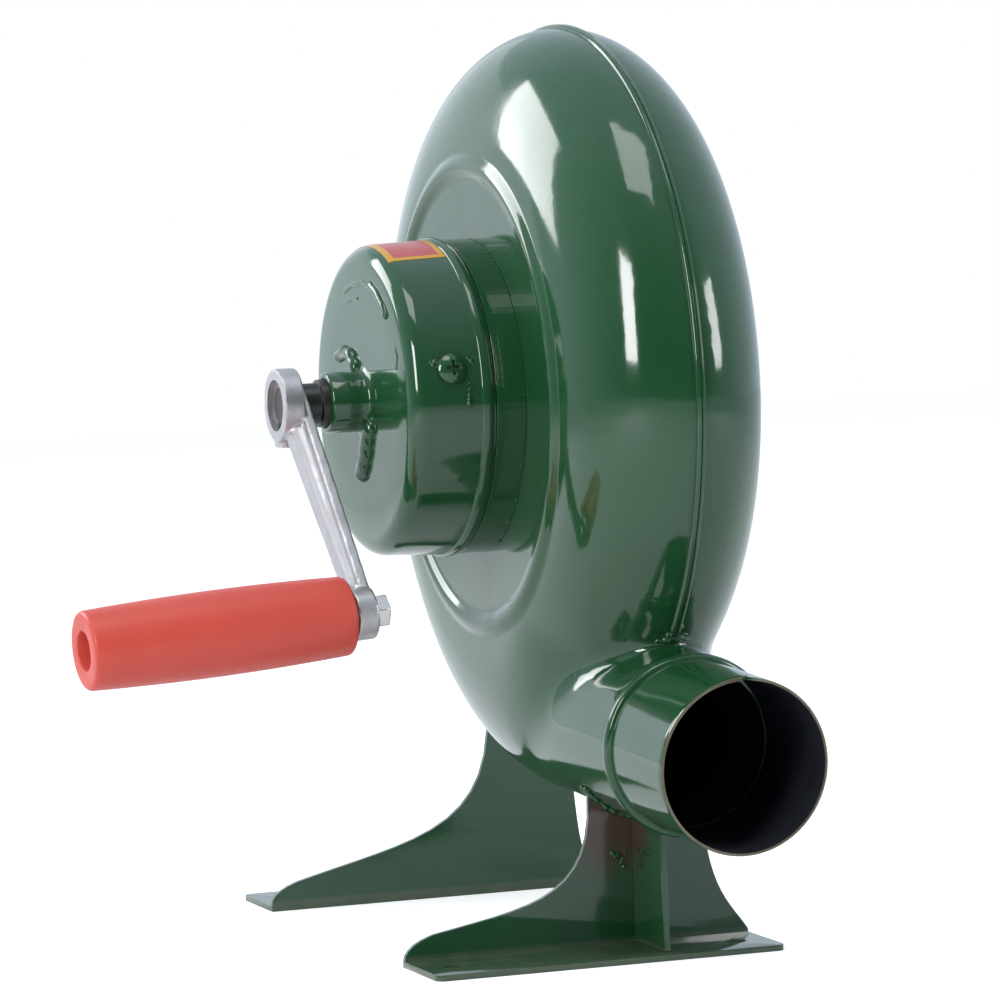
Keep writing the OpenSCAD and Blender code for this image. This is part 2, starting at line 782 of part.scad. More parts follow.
module idler_gear() {
    hole_pcr = idler_hole_share[0] * idler_pitch_r;
    color(bright_steel) on_axis() on_idler() translate([0, 0, idler_gear_back]) difference() {
        rotate([0, 0, idler_angle + 180]) linear_extrude(idler_gear_t)
            gear_shape(idler_teeth, addendum, dedendum, tooth_relief);
        translate([0, 0, -cut]) cylinder(r = idler_hub_r + seat_gap, h = idler_gear_t + 2 * cut);
        for (i = [0 : idler_hole_count - 1]) rotate([0, 0, i * 360 / idler_hole_count])
            translate([hole_pcr, 0, -cut])
                cylinder(r = idler_hole_share[1] * idler_pitch_r, h = idler_gear_t + 2 * cut);
    }
}

module idler_pinion() {
    color(bright_steel) on_axis() on_idler() difference() {
        union() {
            translate([0, 0, idler_hub_back])
                cylinder(r = idler_hub_r, h = idler_teeth_back - idler_hub_back);
            translate([0, 0, idler_gear_back + idler_gear_t]) cylinder(r = idler_shoulder_r,
                h = idler_teeth_back - idler_gear_back - idler_gear_t);
            translate([0, 0, idler_teeth_back]) rotate([0, 0, idler_angle])
                linear_extrude(idler_teeth_front - idler_teeth_back)
                    gear_shape(pinion_teeth, addendum, dedendum, tooth_relief);
        }
        translate([0, 0, idler_hub_back - cut]) cylinder(r = idler_pin_r + run_gap, h = ring_disc_front);
    }
}

module ring_gear() {
    disc_back = ring_disc_front - ring_disc_t;
    hole_angle = 180 / ring_hole_count;
    color(bright_steel) on_axis() difference() {
        translate([0, 0, ring_rim_back]) cylinder(r = ring_outer_r, h = ring_disc_front - ring_rim_back);
        difference() {
            translate([0, 0, ring_rim_back - cut]) rotate([0, 0, idler_angle])
                linear_extrude(disc_back - ring_rim_back + cut)
                    gear_shape(ring_teeth, dedendum, ring_addendum, -tooth_relief);
            translate([0, 0, ring_hub_back]) cylinder(r = ring_hub_r, h = ring_disc_front);
        }
        translate([0, 0, ring_hub_back - cut]) cylinder(r = crank_shaft_r + seat_gap, h = ring_disc_front);
        for (i = [0 : ring_hole_count - 1]) rotate([0, 0, hole_angle + i * 360 / ring_hole_count])
            translate([ring_hole_share[0] * ring_pitch_r, 0, disc_back - cut])
                cylinder(r = ring_hole_share[1] * ring_pitch_r, h = ring_disc_t + 2 * cut);
    }
}

module crank_shaft() {
    color(dark_steel) on_axis() translate([0, 0, ring_hub_back])
        cylinder(r = crank_shaft_r, h = hub_back + hub_t - shaft_end_gap - ring_hub_back);
}

module shaft_collar() {
    color(black_oxide) on_axis() {
        ring_band(collar_r, crank_shaft_r + seat_gap, collar_front, collar_front + collar_t);
        ring_band(collar_neck_r, crank_shaft_r + seat_gap, collar_front, hub_back);
    }
}

// Crank frame: origin at the middle of the hub, X along the arm, Z outwards along the leaned axis
module on_crank() {
    on_axis() translate([0, 0, hub_mid]) rotate([0, 0, crank_angle]) rotate([0, crank_lean, 0]) children();
}

module on_handle() {
    on_crank() translate([crank_len, 0, 0]) children();
}

// Frame of the set screw: Z runs outwards through the lug of the hub
module on_lug() {
    on_axis() translate([0, 0, hub_mid]) rotate([0, 0, lug_angle]) rotate([0, 90, 0]) children();
}

module crank_arm() {
    hub_front = hub_back + hub_t;
    half_w = arm_w / 2;
    half_end = arm_end_w / 2;
    color(cast_alloy) difference() {
        union() {
            on_axis() translate([0, 0, hub_back]) cylinder(r = hub_r, h = hub_t);
            on_lug() cylinder(r = lug_r, h = lug_reach);
            on_crank() {
                translate([0, 0, -arm_t / 2]) linear_extrude(arm_t)
                    polygon([[0, -half_w], [crank_len, -half_end], [crank_len, half_end], [0, half_w]]);
                rotate([0, 90, 0]) cylinder(r1 = rib_r, r2 = rib_end_r, h = crank_len);
            }
            on_handle() translate([0, 0, -eye_t / 2]) cylinder(r = eye_r, h = eye_t);
        }
        on_axis() translate([0, 0, hub_back - cut])
            cylinder(r = crank_shaft_r + seat_gap, h = hub_t + 2 * cut);
        on_axis() translate([0, 0, hub_front - hub_recess_t]) cylinder(r = hub_recess_r, h = hub_t);
        on_axis() translate([0, 0, hub_back - hub_t]) cylinder(r = collar_neck_r + seat_gap, h = hub_t);
        on_handle() translate([0, 0, -eye_t]) cylinder(r = eye_hole_r, h = 2 * eye_t);
        on_lug() cylinder(r = set_screw_r, h = lug_reach + cut);
    }
}

module crank_set_screw() {
    color(black_oxide) on_lug() translate([0, 0, crank_shaft_r + 2 * seat_gap]) difference() {
        cylinder(r = set_screw_r - seat_gap, h = set_screw_len);
        translate([0, 0, set_screw_len / 2]) cylinder(r = set_screw_hex_r, h = set_screw_len, $fn = 6);
    }
}

module handle_bolt() {
    front = eye_t / 2 + washer_t;
    back = -eye_t / 2 - nut_t - bolt_end;
    slot = bolt_head_r / 9;
    color(bright_steel) on_handle() {
        translate([0, 0, back]) cylinder(r = bolt_thread_r, h = front - back);
        translate([0, 0, front]) cylinder(r = grip_bolt_r, h = head_seat - front);
        difference() {
            translate([0, 0, head_seat]) cylinder(r = bolt_head_r, h = bolt_head_t);
            translate([-bolt_head_r - cut, -slot, head_seat + bolt_head_t / 2])
                cube([2 * bolt_head_r + 2 * cut, 2 * slot, bolt_head_t]);
        }
    }
}

module handle_washer() {
    color(bright_steel) on_handle()
        ring_band(washer_r, bolt_thread_r + seat_gap, eye_t / 2, eye_t / 2 + washer_t - seat_gap);
}

module handle_nut() {
    back = -eye_t / 2 - nut_t;
    color(bright_steel) on_handle() difference() {
        translate([0, 0, back]) cylinder(r = nut_r, h = nut_t - seat_gap, $fn = 6);
        translate([0, 0, back - cut]) cylinder(r = bolt_thread_r + seat_gap, h = nut_t + 2 * cut);
    }
}

// Outline of the grip: rounded ends and a slow swell between them
function grip_corner(base, sign) = [for (i = [0 : grip_corner_steps]) let (a = 90 * i / grip_corner_steps)
    [grip_end_r - grip_round + grip_round * sin(a), base - sign * grip_round * cos(a)]];
function grip_point(s) = [grip_end_r + (grip_mid_r - grip_end_r) * sin(180 * s),
    grip_round + (grip_len - 2 * grip_round) * s];
function grip_outline() = concat([[0, 0]],
    grip_corner(grip_round, 1),
    [for (i = [1 : grip_steps - 1]) grip_point(i / grip_steps)],
    [for (i = [grip_corner_steps : -1 : 0]) grip_corner(grip_len - grip_round, -1)[i]],
    [[0, grip_len]]);

module handle_grip() {
    color(grip_red) on_handle() translate([0, 0, grip_back]) difference() {
        rotate_extrude() polygon(grip_outline());
        translate([0, 0, -cut]) cylinder(r = grip_bolt_r + run_gap, h = grip_len + 2 * cut);
        translate([0, 0, grip_len - recess_depth]) cylinder(r = grip_recess_r, h = recess_depth + cut);
    }
}

module fan_pinion() {
    color(bright_steel) on_axis() translate([0, 0, fan_pinion_back]) difference() {
        rotate([0, 0, idler_angle + 180 / pinion_teeth]) linear_extrude(fan_pinion_len)
            gear_shape(pinion_teeth, addendum, dedendum, tooth_relief);
        translate([0, 0, -cut]) cylinder(r = pinion_bore_r + seat_gap, h = fan_pinion_len + 2 * cut);
    }
}

module fan_shaft() {
    color(bright_steel) on_axis() {
        translate([0, 0, shaft_tip_back]) cylinder(r = fan_shaft_r, h = fan_pinion_back - shaft_tip_back);
        translate([0, 0, fan_pinion_back]) cylinder(r = pinion_bore_r, h = fan_pinion_len);
    }
}

module impeller() {
    back = fan_disc_front - fan_disc_t;
    reach = blade_reach_share * (fan_r - blade_inner_r);
    color(cast_alloy) on_axis() difference() {
        union() {
            translate([0, 0, back]) cylinder(r = fan_r, h = fan_disc_t);
            translate([0, 0, fan_hub_back]) cylinder(r = fan_hub_r, h = fan_disc_front - fan_hub_back);
            for (i = [0 : blade_count - 1]) rotate([0, 0, i * 360 / blade_count])
                translate([blade_inner_r, 0, 0]) rotate([90, 0, -blade_lean])
                    translate([0, 0, -blade_t / 2]) linear_extrude(blade_t) polygon([
                        [0, back + blade_root], [0, blade_inner_back],
                        [reach, blade_outer_back], [reach, back + blade_root]]);
        }
        translate([0, 0, fan_hub_back - cut]) cylinder(r = fan_shaft_r + seat_gap, h = 2 * fan_disc_front);
    }
}

module impeller_washer() {
    color(bright_steel) on_axis()
        ring_band(fan_washer_r, fan_shaft_r + seat_gap, fan_hub_back - fan_washer_t, fan_hub_back);
}

module impeller_nut() {
    front = fan_hub_back - fan_washer_t;
    color(bright_steel) on_axis() difference() {
        translate([0, 0, front - fan_nut_t]) cylinder(r = fan_nut_r, h = fan_nut_t, $fn = 6);
        translate([0, 0, front - fan_nut_t - cut])
            cylinder(r = fan_shaft_r + seat_gap, h = fan_nut_t + 2 * cut);
    }
}

module inlet_guard() {
    color(housing_green) on_axis() mirror([0, 0, 1]) difference() {
        translate([0, 0, half_depth]) {
            guard_ring(guard_r, inlet_r);
            guard_ring(guard_ring_r + guard_ring_w / 2, guard_ring_r - guard_ring_w / 2);
            cylinder(r = guard_centre_r, h = guard_t);
            for (q = [0, 90]) rotate([0, 0, q]) translate([-inlet_r - cut, -guard_bar_w / 2, 0])
                cube([2 * inlet_r + 2 * cut, guard_bar_w, guard_t]);
        }
        rivet_places() cylinder(r = rivet_r, h = 4 * guard_t, center = true);
    }
}

module guard_ring(outer, inner) {
    difference() {
        cylinder(r = outer, h = guard_t);
        translate([0, 0, -cut]) cylinder(r = inner, h = guard_t + 2 * cut);
    }
}

module guard_rivets() {
    color(bright_steel) on_axis() mirror([0, 0, 1]) rivet_places() {
        translate([0, 0, -sheet_t]) cylinder(r = rivet_r - seat_gap, h = sheet_t + guard_t);
        translate([0, 0, -sheet_t - rivet_r / 2]) cylinder(r = rivet_head_r, h = rivet_r / 2);
        translate([0, 0, guard_t]) intersection() {
            cylinder(r = rivet_head_r, h = rivet_r);
            translate([0, 0, -rivet_head_r]) sphere(r = dome_share * rivet_head_r);
        }
    }
}

volute_front_shell();
volute_rear_shell();
outlet_sleeve();
right_foot();
left_foot();
foot_gusset();
gearbox_base();
gearbox_cover();
cover_screws();
cover_label();
crank_boss();
crank_bush();
bearing_housing();
housing_screws();
bearing_outer_rings();
idler_post();
idler_clip();
inlet_guard();
guard_rivets();
idler_gear();
idler_pinion();
ring_gear();
crank_shaft();
shaft_collar();
crank_arm();
crank_set_screw();
handle_bolt();
handle_washer();
handle_nut();
handle_grip();
fan_pinion();
fan_shaft();
bearing_inner_rings();
bearing_balls();
impeller();
impeller_washer();
impeller_nut();
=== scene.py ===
import math

import bpy
from mathutils import Matrix, Vector


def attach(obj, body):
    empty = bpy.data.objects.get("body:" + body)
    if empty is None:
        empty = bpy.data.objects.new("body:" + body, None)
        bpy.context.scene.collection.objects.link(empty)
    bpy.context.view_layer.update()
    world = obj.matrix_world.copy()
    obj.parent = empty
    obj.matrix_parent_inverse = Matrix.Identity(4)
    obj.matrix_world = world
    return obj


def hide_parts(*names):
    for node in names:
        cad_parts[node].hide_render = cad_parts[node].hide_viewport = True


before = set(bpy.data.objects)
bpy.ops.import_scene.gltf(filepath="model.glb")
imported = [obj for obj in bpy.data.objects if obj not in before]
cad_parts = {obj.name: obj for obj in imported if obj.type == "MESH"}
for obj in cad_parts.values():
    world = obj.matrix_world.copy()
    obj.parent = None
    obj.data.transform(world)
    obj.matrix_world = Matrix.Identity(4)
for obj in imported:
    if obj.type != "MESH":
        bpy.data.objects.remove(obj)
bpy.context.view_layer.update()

mm = 0.001
print("frame loaded")


# small tools for modelling by operators

def deselectAll():
    if bpy.context.mode != "OBJECT":
        bpy.ops.object.mode_set(mode="OBJECT")
    bpy.ops.object.select_all(action="DESELECT")


def pick(piece, *others):
    deselectAll()
    for other in (piece, *others):
        other.select_set(True)
    bpy.context.view_layer.objects.active = piece


def editMode(piece, kind="VERT"):
    pick(piece)
    bpy.context.tool_settings.mesh_select_mode = (kind == "VERT", False, kind == "FACE")
    bpy.ops.object.mode_set(mode="EDIT")


def editAll(piece):
    editMode(piece)
    bpy.ops.mesh.select_all(action="SELECT")


def objectMode():
    bpy.ops.object.mode_set(mode="OBJECT")


def selectWhere(piece, test, kind="VERT"):
    editMode(piece, kind)
    bpy.ops.mesh.select_all(action="DESELECT")
    objectMode()
    for item in piece.data.polygons if kind == "FACE" else piece.data.vertices:
        item.select = bool(test(item))
    bpy.ops.object.mode_set(mode="EDIT")


def settle(piece):
    pick(piece)
    bpy.ops.object.transform_apply(location=True, rotation=True, scale=True)
    return piece


def put(piece, place):
    # moves a piece into a local frame, whose distances are in mm
    piece.matrix_world = Matrix.Translation(place.translation * mm) @ place.to_3x3().to_4x4()
    return settle(piece)


def added(operator, place=None, **settings):
    # a new primitive, in a local frame where one is given
    deselectAll()
    operator(**settings)
    piece = bpy.context.active_object
    return piece if place is None else put(piece, place)


def modify(piece, kind, **settings):
    pick(piece)
    modifier = piece.modifiers.new(kind.title(), kind)
    for name, value in settings.items():
        setattr(modifier, name, value)
    bpy.ops.object.modifier_apply(modifier=modifier.name)
    return piece


def bevelled(piece, width, segments=2, angle=35):
    return modify(piece, "BEVEL", width=width * mm, segments=segments, limit_method="ANGLE",
                  angle_limit=math.radians(angle))


def cutAway(piece, tool):
    modify(piece, "BOOLEAN", operation="DIFFERENCE", object=tool, solver="EXACT")
    bpy.data.objects.remove(tool)


def drill(piece, place, radius, length, sides=64):
    cutAway(piece, added(bpy.ops.mesh.primitive_cylinder_add, place, vertices=sides,
                         radius=radius * mm, depth=length * mm))


def soften(piece, angle=None):
    # smooth shading all over, or only where faces meet at less than an angle
    pick(piece)
    if angle:
        bpy.ops.object.shade_smooth_by_angle(angle=math.radians(angle))
    else:
        bpy.ops.object.shade_smooth()
    return piece


def joinAll(name, pieces):
    pick(*pieces)
    bpy.ops.object.join()
    pieces[0].name = name
    return pieces[0]


def fused(name, pieces, voxel, smoothing):
    # closed pieces that overlap become one skin
    body = settle(joinAll(name, pieces))
    modify(body, "REMESH", mode="VOXEL", voxel_size=voxel * mm)
    return modify(body, "SMOOTH", factor=0.5, iterations=smoothing)


def tidyMesh(piece, reach, smoothAngle):
    editAll(piece)
    bpy.ops.mesh.remove_doubles(threshold=reach * mm)
    bpy.ops.mesh.normals_make_consistent(inside=False)
    objectMode()
    return soften(piece, smoothAngle)


def duplicate(piece, name):
    twin = piece.copy()
    twin.data = piece.data.copy()
    twin.name = name
    bpy.context.collection.objects.link(twin)
    return twin


def copyNode(node, name):
    piece = duplicate(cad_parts[node], name)
    piece.parent = None
    piece.data.materials.clear()
    return tidyMesh(piece, 0.005, 35)


def traceLine(name, points):
    piece = added(bpy.ops.mesh.primitive_plane_add, size=2 * mm, location=points[0])
    piece.name = name
    settle(piece)
    editAll(piece)
    bpy.ops.mesh.merge(type="CENTER")
    for before, after in zip(points, points[1:]):
        bpy.ops.mesh.extrude_vertices_move(TRANSFORM_OT_translate={"value": after - before})
    return piece


# places: a local frame has its distances in mm, a point of the scene is in metres

def moved(place, across=0.0, up=0.0, along=0.0):
    return place @ Matrix.Translation((across, up, along))


def rolled(place, angle, axis="Z"):
    return place @ Matrix.Rotation(math.radians(angle), 4, axis)


def at(place, across=0.0, up=0.0, along=0.0):  # a point of a local frame, in the scene
    return (place @ Vector((across, up, along))) * mm


def around(place, radius, angle, along):  # the same, at an angle in degrees round the local axis
    turn = math.radians(angle)
    return at(place, radius * math.cos(turn), radius * math.sin(turn), along)


def within(place, spot):  # a point of the scene, in a local frame
    return place.inverted() @ (spot / mm)


def offAxis(local):
    return math.hypot(local.x, local.y)


def aim(place):
    return (place.to_3x3() @ Vector((0, 0, 1))).normalized()


def bend(radius, along, wide, deep, first, last, steps):
    # points of a rounded corner of an outline: its middle, half sizes and angles in degrees
    turns = [math.radians(first + (last - first) * step / steps) for step in range(steps + 1)]
    return [(radius + wide * math.cos(turn), along + deep * math.sin(turn)) for turn in turns]


def spread(points, count):
    # evenly spaced places along a line of points
    result = []
    for first, last in zip(points, points[1:]):
        for step in range(count):
            result.append(tuple(a + (b - a) * (step / count) for a, b in zip(first, last)))
    return result + [tuple(points[-1])]


def turned(name, place, outline, steps=96, angle=360.0, start=0.0, smoothAngle=35):
    # outline is a list of (radius, distance along the axis) in mm, closed and spun about the axis
    begin = rolled(place, start)
    outline = [*outline, outline[0]]
    piece = traceLine(name, [at(begin, radius, 0, along) for radius, along in outline])
    bpy.ops.mesh.select_all(action="SELECT")
    if angle < 360:  # a part turn starts from a filled section, so that both ends are closed
        bpy.ops.mesh.remove_doubles(threshold=0.001 * mm)
        bpy.ops.mesh.select_all(action="SELECT")
        bpy.ops.mesh.edge_face_add()
    # spin turns the other way round its axis than a matrix does
    bpy.ops.mesh.spin(steps=steps, angle=math.radians(angle), center=place.translation * mm,
                      axis=-aim(place))
    objectMode()
    return tidyMesh(piece, 0.004, smoothAngle)


def weigh(piece, name, place, share):
    # a vertex group whose weights share gives, from places in a local frame
    group = piece.vertex_groups.new(name=name)
    for vertex in piece.data.vertices:
        weight = share(within(place, vertex.co))
        if weight > 0:
            group.add([vertex.index], weight, "REPLACE")


def lift(piece, name, place, share, height):
    weigh(piece, name, place, share)
    modify(piece, "DISPLACE", strength=height * mm, mid_level=0, vertex_group=name,
           direction="NORMAL")


def paint(piece, *materials):
    piece.data.materials.clear()
    for material in materials:
        piece.data.materials.append(material)
    return piece


def dress(piece, body, material, slot, *nodes):
    if material:  # a piece with several materials has them already
        paint(piece, material)
    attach(piece, body)
    if nodes:
        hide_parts(*nodes)
    return piece


def softCopy(node, name, body, material, slot, width, segments=2, angle=35):
    # a CAD node's own shape, with softened edges
    piece = bevelled(copyNode(node, name), width, segments, angle)
    return dress(piece, body, material, slot, node)


# frames of the real object, in mm: local X to the outlet, local Y up, local Z to the crank

layout = {
    "fanAxis": (9.5, 27, 182), "crankAhead": 101.35, "crankAngle": -51.5, "crankLean": 4.4,
    "crankLength": 85, "neckAcross": 98.07, "neckUp": -111.44, "neckDip": 3,
}
blower = rolled(Matrix.Translation(layout["fanAxis"]), 90, "X")
crankHub = rolled(rolled(moved(blower, 0, 0, layout["crankAhead"]), layout["crankAngle"]),
                  layout["crankLean"], "Y")
handle = moved(crankHub, layout["crankLength"])
outlet = rolled(rolled(moved(blower, layout["neckAcross"], layout["neckUp"]), -layout["neckDip"]),
                90, "Y")


# materials

def hexColour(code):
    parts = [int(code[i:i + 2], 16) / 255 for i in (1, 3, 5)]
    linear = [c / 12.92 if c <= 0.04045 else ((c + 0.055) / 1.055) ** 2.4 for c in parts]
    return (*linear, 1.0)


def addNode(material, kind, settings=None, links=None):
    node = material.node_tree.nodes.new("ShaderNode" + kind)
    for name, value in (settings or {}).items():
        if isinstance(name, str) and hasattr(node, name):
            setattr(node, name, value)
        else:
            node.inputs[name].default_value = value
    for name, source in (links or {}).items():
        material.node_tree.links.new(source, node.inputs[name])
    return node


def newMaterial(name, **fixed):
    # gives the material, its shader and the place on the piece that patterns read
    material = bpy.data.materials.new(name)
    material.use_nodes = True
    shader = material.node_tree.nodes["Principled BSDF"]
    for key, value in fixed.items():
        shader.inputs[key.replace("_", " ")].default_value = value
    return material, shader, addNode(material, "TexCoord").outputs["Object"]


def feed(material, shader, **sources):
    for key, source in sources.items():
        material.node_tree.links.new(source, shader.inputs[key.replace("_", " ")])
    return material


enamel = {
    "green": "#1c4a29", "thin": "#2a5a38", "deep": "#143a20", "dustAndSheen": "#56655a", "even": 0.62,
    "cloud": 60 * mm, "smear": 22 * mm,          # drift of the colour, and of the gloss
    "peel": 4.5 * mm, "peelDepth": 0.035 * mm,   # orange peel of thick brushed-on paint
    "dent": 38 * mm, "dentDepth": 0.35 * mm,     # slow waves of pressed sheet under it
    "speck": 3.2 * mm, "speckDepth": 0.12 * mm,  # grit caught in the paint
}


def glossEnamel(name, green, waves=1.0, rough=0.07, stainAndSheen=None):
    # thick gloss enamel over pressed sheet: deep green, mirror-like, slightly uneven, with grit
    # under the skin
    material, shader, spot = newMaterial(name, IOR=1.55, Coat_Weight=0.25, Coat_Roughness=0.03)
    cloud = addNode(material, "TexNoise", {"Scale": 1 / enamel["cloud"], "Detail": 3.0,
                                           "Roughness": 0.55}, {"Vector": spot})
    shade = addNode(material, "Mix", {"data_type": "RGBA", 6: hexColour(enamel["deep"]),
                                      7: hexColour(enamel["thin"])}, {0: cloud.outputs["Fac"]})
    tone = addNode(material, "Mix", {"data_type": "RGBA", 0: enamel["even"], 7: hexColour(green)},
                   {6: shade.outputs[2]})
    grit = addNode(material, "TexVoronoi", {"Scale": 1 / enamel["speck"], "Randomness": 1.0},
                   {"Vector": spot})
    gritSpot = addNode(material, "MapRange", {"From Min": 0.05, "From Max": 0.13, "To Min": 1.0,
                                              "To Max": 0.0}, {"Value": grit.outputs["Distance"]})
    rare = addNode(material, "Math", {"operation": "GREATER_THAN", 1: 0.93},
                   {0: grit.outputs["Color"]})
    speck = addNode(material, "Math", {"operation": "MULTIPLY"},
                    {0: gritSpot.outputs[0], 1: rare.outputs[0]})
    gritAndSheenShare = addNode(material, "Math", {"operation": "MULTIPLY", 1: 0.3}, {0: speck.outputs[0]})
    colour = addNode(material, "Mix", {"data_type": "RGBA", 7: hexColour(enamel["dustAndSheen"])},
                     {0: gritAndSheenShare.outputs[0], 6: tone.outputs[2]}).outputs[2]
    # the feet add here a real scorch and a painted reflection on their flanges
    if stainAndSheen:
        colour = stainAndSheen(material, spot, colour)
    smear = addNode(material, "TexNoise", {"Scale": 1 / enamel["smear"], "Detail": 4.0,
                                           "Roughness": 0.6}, {"Vector": spot})
    gloss = addNode(material, "MapRange", {"From Min": 0.3, "From Max": 0.75, "To Min": rough,
                                           "To Max": rough + 0.08}, {"Value": smear.outputs["Fac"]})
    dents = addNode(material, "TexNoise", {"Scale": 1 / enamel["dent"], "Detail": 1.0},
                    {"Vector": spot})
    dentBump = addNode(material, "Bump", {"Strength": 1.0, "Distance": enamel["dentDepth"] * waves},
                       {"Height": dents.outputs["Fac"]})
    peel = addNode(material, "TexNoise",
                   {"Scale": 1 / enamel["peel"], "Detail": 2.0, "Roughness": 0.5}, {"Vector": spot})
    peelBump = addNode(material, "Bump", {"Strength": 1.0, "Distance": enamel["peelDepth"]},
                       {"Height": peel.outputs["Fac"], "Normal": dentBump.outputs[0]})
    gritBump = addNode(material, "Bump", {"Strength": 0.8, "Distance": enamel["speckDepth"]},
                       {"Height": speck.outputs[0], "Normal": peelBump.outputs[0]})
    return feed(material, shader, Base_Color=colour, Roughness=gloss.outputs[0],
                Normal=gritBump.outputs[0])


# the brown scorch is a real stain; the pale grey low down is a painted reflection on the flanges'
# tops
scorchAndSheen = {
    "middle": (73, 14, 41), "full": 9 * mm, "gone": 19 * mm, "blotch": 7 * mm, "waver": 16 * mm,
    "brown": "#45281d", "dustAndSheen": "#6b6a5f", "sheenFull": 2.6 * mm, "sheenGone": 4.2 * mm,
}


def heatStainAndSheen(material, spot, colour):
    # scorched paint beside the web's weld: brown, fading out through a blotchy edge; and blotchy
    # pale grey on the flanges' tops, a painted reflection of the pale backdrop
    off = addNode(material, "VectorMath",
                  {"operation": "DISTANCE", 1: [c * mm for c in scorchAndSheen["middle"]]}, {0: spot})
    blotch = addNode(material, "TexNoise", {"Scale": 1 / scorchAndSheen["blotch"], "Detail": 4.0},
                     {"Vector": spot})
    waver = addNode(material, "Math", {"operation": "MULTIPLY_ADD", 1: scorchAndSheen["waver"],
                                       2: -scorchAndSheen["waver"] / 2}, {0: blotch.outputs["Fac"]})
    reach = addNode(material, "Math", {"operation": "ADD"},
                    {0: off.outputs["Value"], 1: waver.outputs[0]})
    share = addNode(material, "MapRange", {"From Min": scorchAndSheen["full"], "To Min": 0.85,
                                           "From Max": scorchAndSheen["gone"], "To Max": 0.0},
                    {"Value": reach.outputs[0]})
    burnt = addNode(material, "Mix", {"data_type": "RGBA", 7: hexColour(scorchAndSheen["brown"])},
                    {0: share.outputs[0], 6: colour})
    # painted reflection: blotchy pale grey low on the feet, on the flanges' tops
    height = addNode(material, "SeparateXYZ", None, {0: spot})
    low = addNode(material, "MapRange", {"From Min": scorchAndSheen["sheenFull"], "To Min": 0.5,
                                         "From Max": scorchAndSheen["sheenGone"], "To Max": 0.0},
                  {"Value": height.outputs["Z"]})
    sheenBlotch = addNode(material, "MapRange", {"From Min": 0.2, "From Max": 0.75, "To Min": 0.35},
                      {"Value": blotch.outputs["Fac"]})
    gritAndSheenShare = addNode(material, "Math", {"operation": "MULTIPLY"},
                    {0: low.outputs[0], 1: sheenBlotch.outputs[0]})
    return addNode(material, "Mix", {"data_type": "RGBA", 7: hexColour(scorchAndSheen["dustAndSheen"])},
                   {0: gritAndSheenShare.outputs[0], 6: burnt.outputs[2]}).outputs[2]


housingEnamel = glossEnamel("housingGlossEnamel", enamel["green"])
footEnamel = glossEnamel("footGlossEnamel", "#1b4427", 0.8, 0.1, heatStainAndSheen)
coverEnamel = glossEnamel("coverGlossEnamel", enamel["green"], 0.3, 0.06)


def metal(name, colour, rough, grain, depth, patches, patchShare=0.5, stretch=(1, 1, 1)):
    # bare or plated metal: colour and roughness drift, and fine working marks stand in the bump
    material, shader, spot = newMaterial(name, Metallic=1.0)
    lengthways = addNode(material, "Mapping", {"Scale": stretch}, {"Vector": spot})
    cloud = addNode(material, "TexNoise", {"Scale": 1 / (9 * mm), "Detail": 4.0}, {"Vector": spot})
    share = addNode(material, "MapRange", {"From Min": 0.35, "From Max": 0.7, "To Min": 0.0,
                                           "To Max": patchShare}, {"Value": cloud.outputs["Fac"]})
    tone = addNode(material, "Mix", {"data_type": "RGBA", 6: hexColour(colour),
                                     7: hexColour(patches)}, {0: share.outputs[0]})
    gloss = addNode(material, "MapRange", {"From Min": 0.3, "From Max": 0.7, "To Min": rough,
                                           "To Max": rough + 0.15}, {"Value": cloud.outputs["Fac"]})
    marks = addNode(material, "TexNoise", {"Scale": 1 / grain, "Detail": 3.0, "Roughness": 0.6},
                    {"Vector": lengthways.outputs[0]})
    bump = addNode(material, "Bump", {"Strength": 1.0, "Distance": depth},
                   {"Height": marks.outputs["Fac"]})
    return feed(material, shader, Base_Color=tone.outputs[2], Roughness=gloss.outputs[0],
                Normal=bump.outputs[0])


# tumbled casting: pale and satin, with greyer patches and a coarse skin
castAlloy = metal("tumbledCastAlloy", "#cbc7c8", 0.34, 1.6 * mm, 0.09 * mm, "#a19fa3")
# zinc plate: the brightest metal here, nearly smooth
brightZinc = metal("brightZincPlate", "#e6e2e1", 0.22, 0.8 * mm, 0.02 * mm, "#a9acae")
# cut gear steel with a brown film of oil
gearSteel = metal("oiledGearSteel", "#8e9094", 0.28, 0.7 * mm, 0.02 * mm, "#5b5850")
# turned bar: its marks are drawn out round the shaft
barSteel = metal("turnedBarSteel", "#a7a8ab", 0.25, 0.5 * mm, 0.015 * mm, "#7b7771", 0.4, (1, 6, 1))
# pressed and sintered bronze: dull, grainy, yellow brown
bronzeBush = metal("sinteredBronze", "#b08a52", 0.4, 0.6 * mm, 0.03 * mm, "#7d5d33")
# die cast fan: grey and the dullest of the castings
fanAlloy = metal("dieCastFanAlloy", "#a3a5a9", 0.42, 1.2 * mm, 0.05 * mm, "#84868b")


def clouded(name, size, colours, rough, detail=4.0, grain=0.5, relief=0.0, **fixed):
    # one cloud drifts through the colour, the roughness and, where it has relief, the bump
    material, shader, spot = newMaterial(name, **fixed)
    cloud = addNode(material, "TexNoise",
                    {"Scale": 1 / size, "Detail": detail, "Roughness": grain}, {"Vector": spot})
    tone = addNode(material, "Mix", {"data_type": "RGBA", 6: hexColour(colours[0]),
                                     7: hexColour(colours[1])}, {0: cloud.outputs["Fac"]})
    gloss = addNode(material, "MapRange", {"To Min": rough[0], "To Max": rough[1]},
                    {"Value": cloud.outputs["Fac"]})
    if relief:
        bump = addNode(material, "Bump", {"Strength": 0.6, "Distance": relief},
                       {"Height": cloud.outputs["Fac"]})
        feed(material, shader, Normal=bump.outputs[0])
    return feed(material, shader, Base_Color=tone.outputs[2], Roughness=gloss.outputs[0])


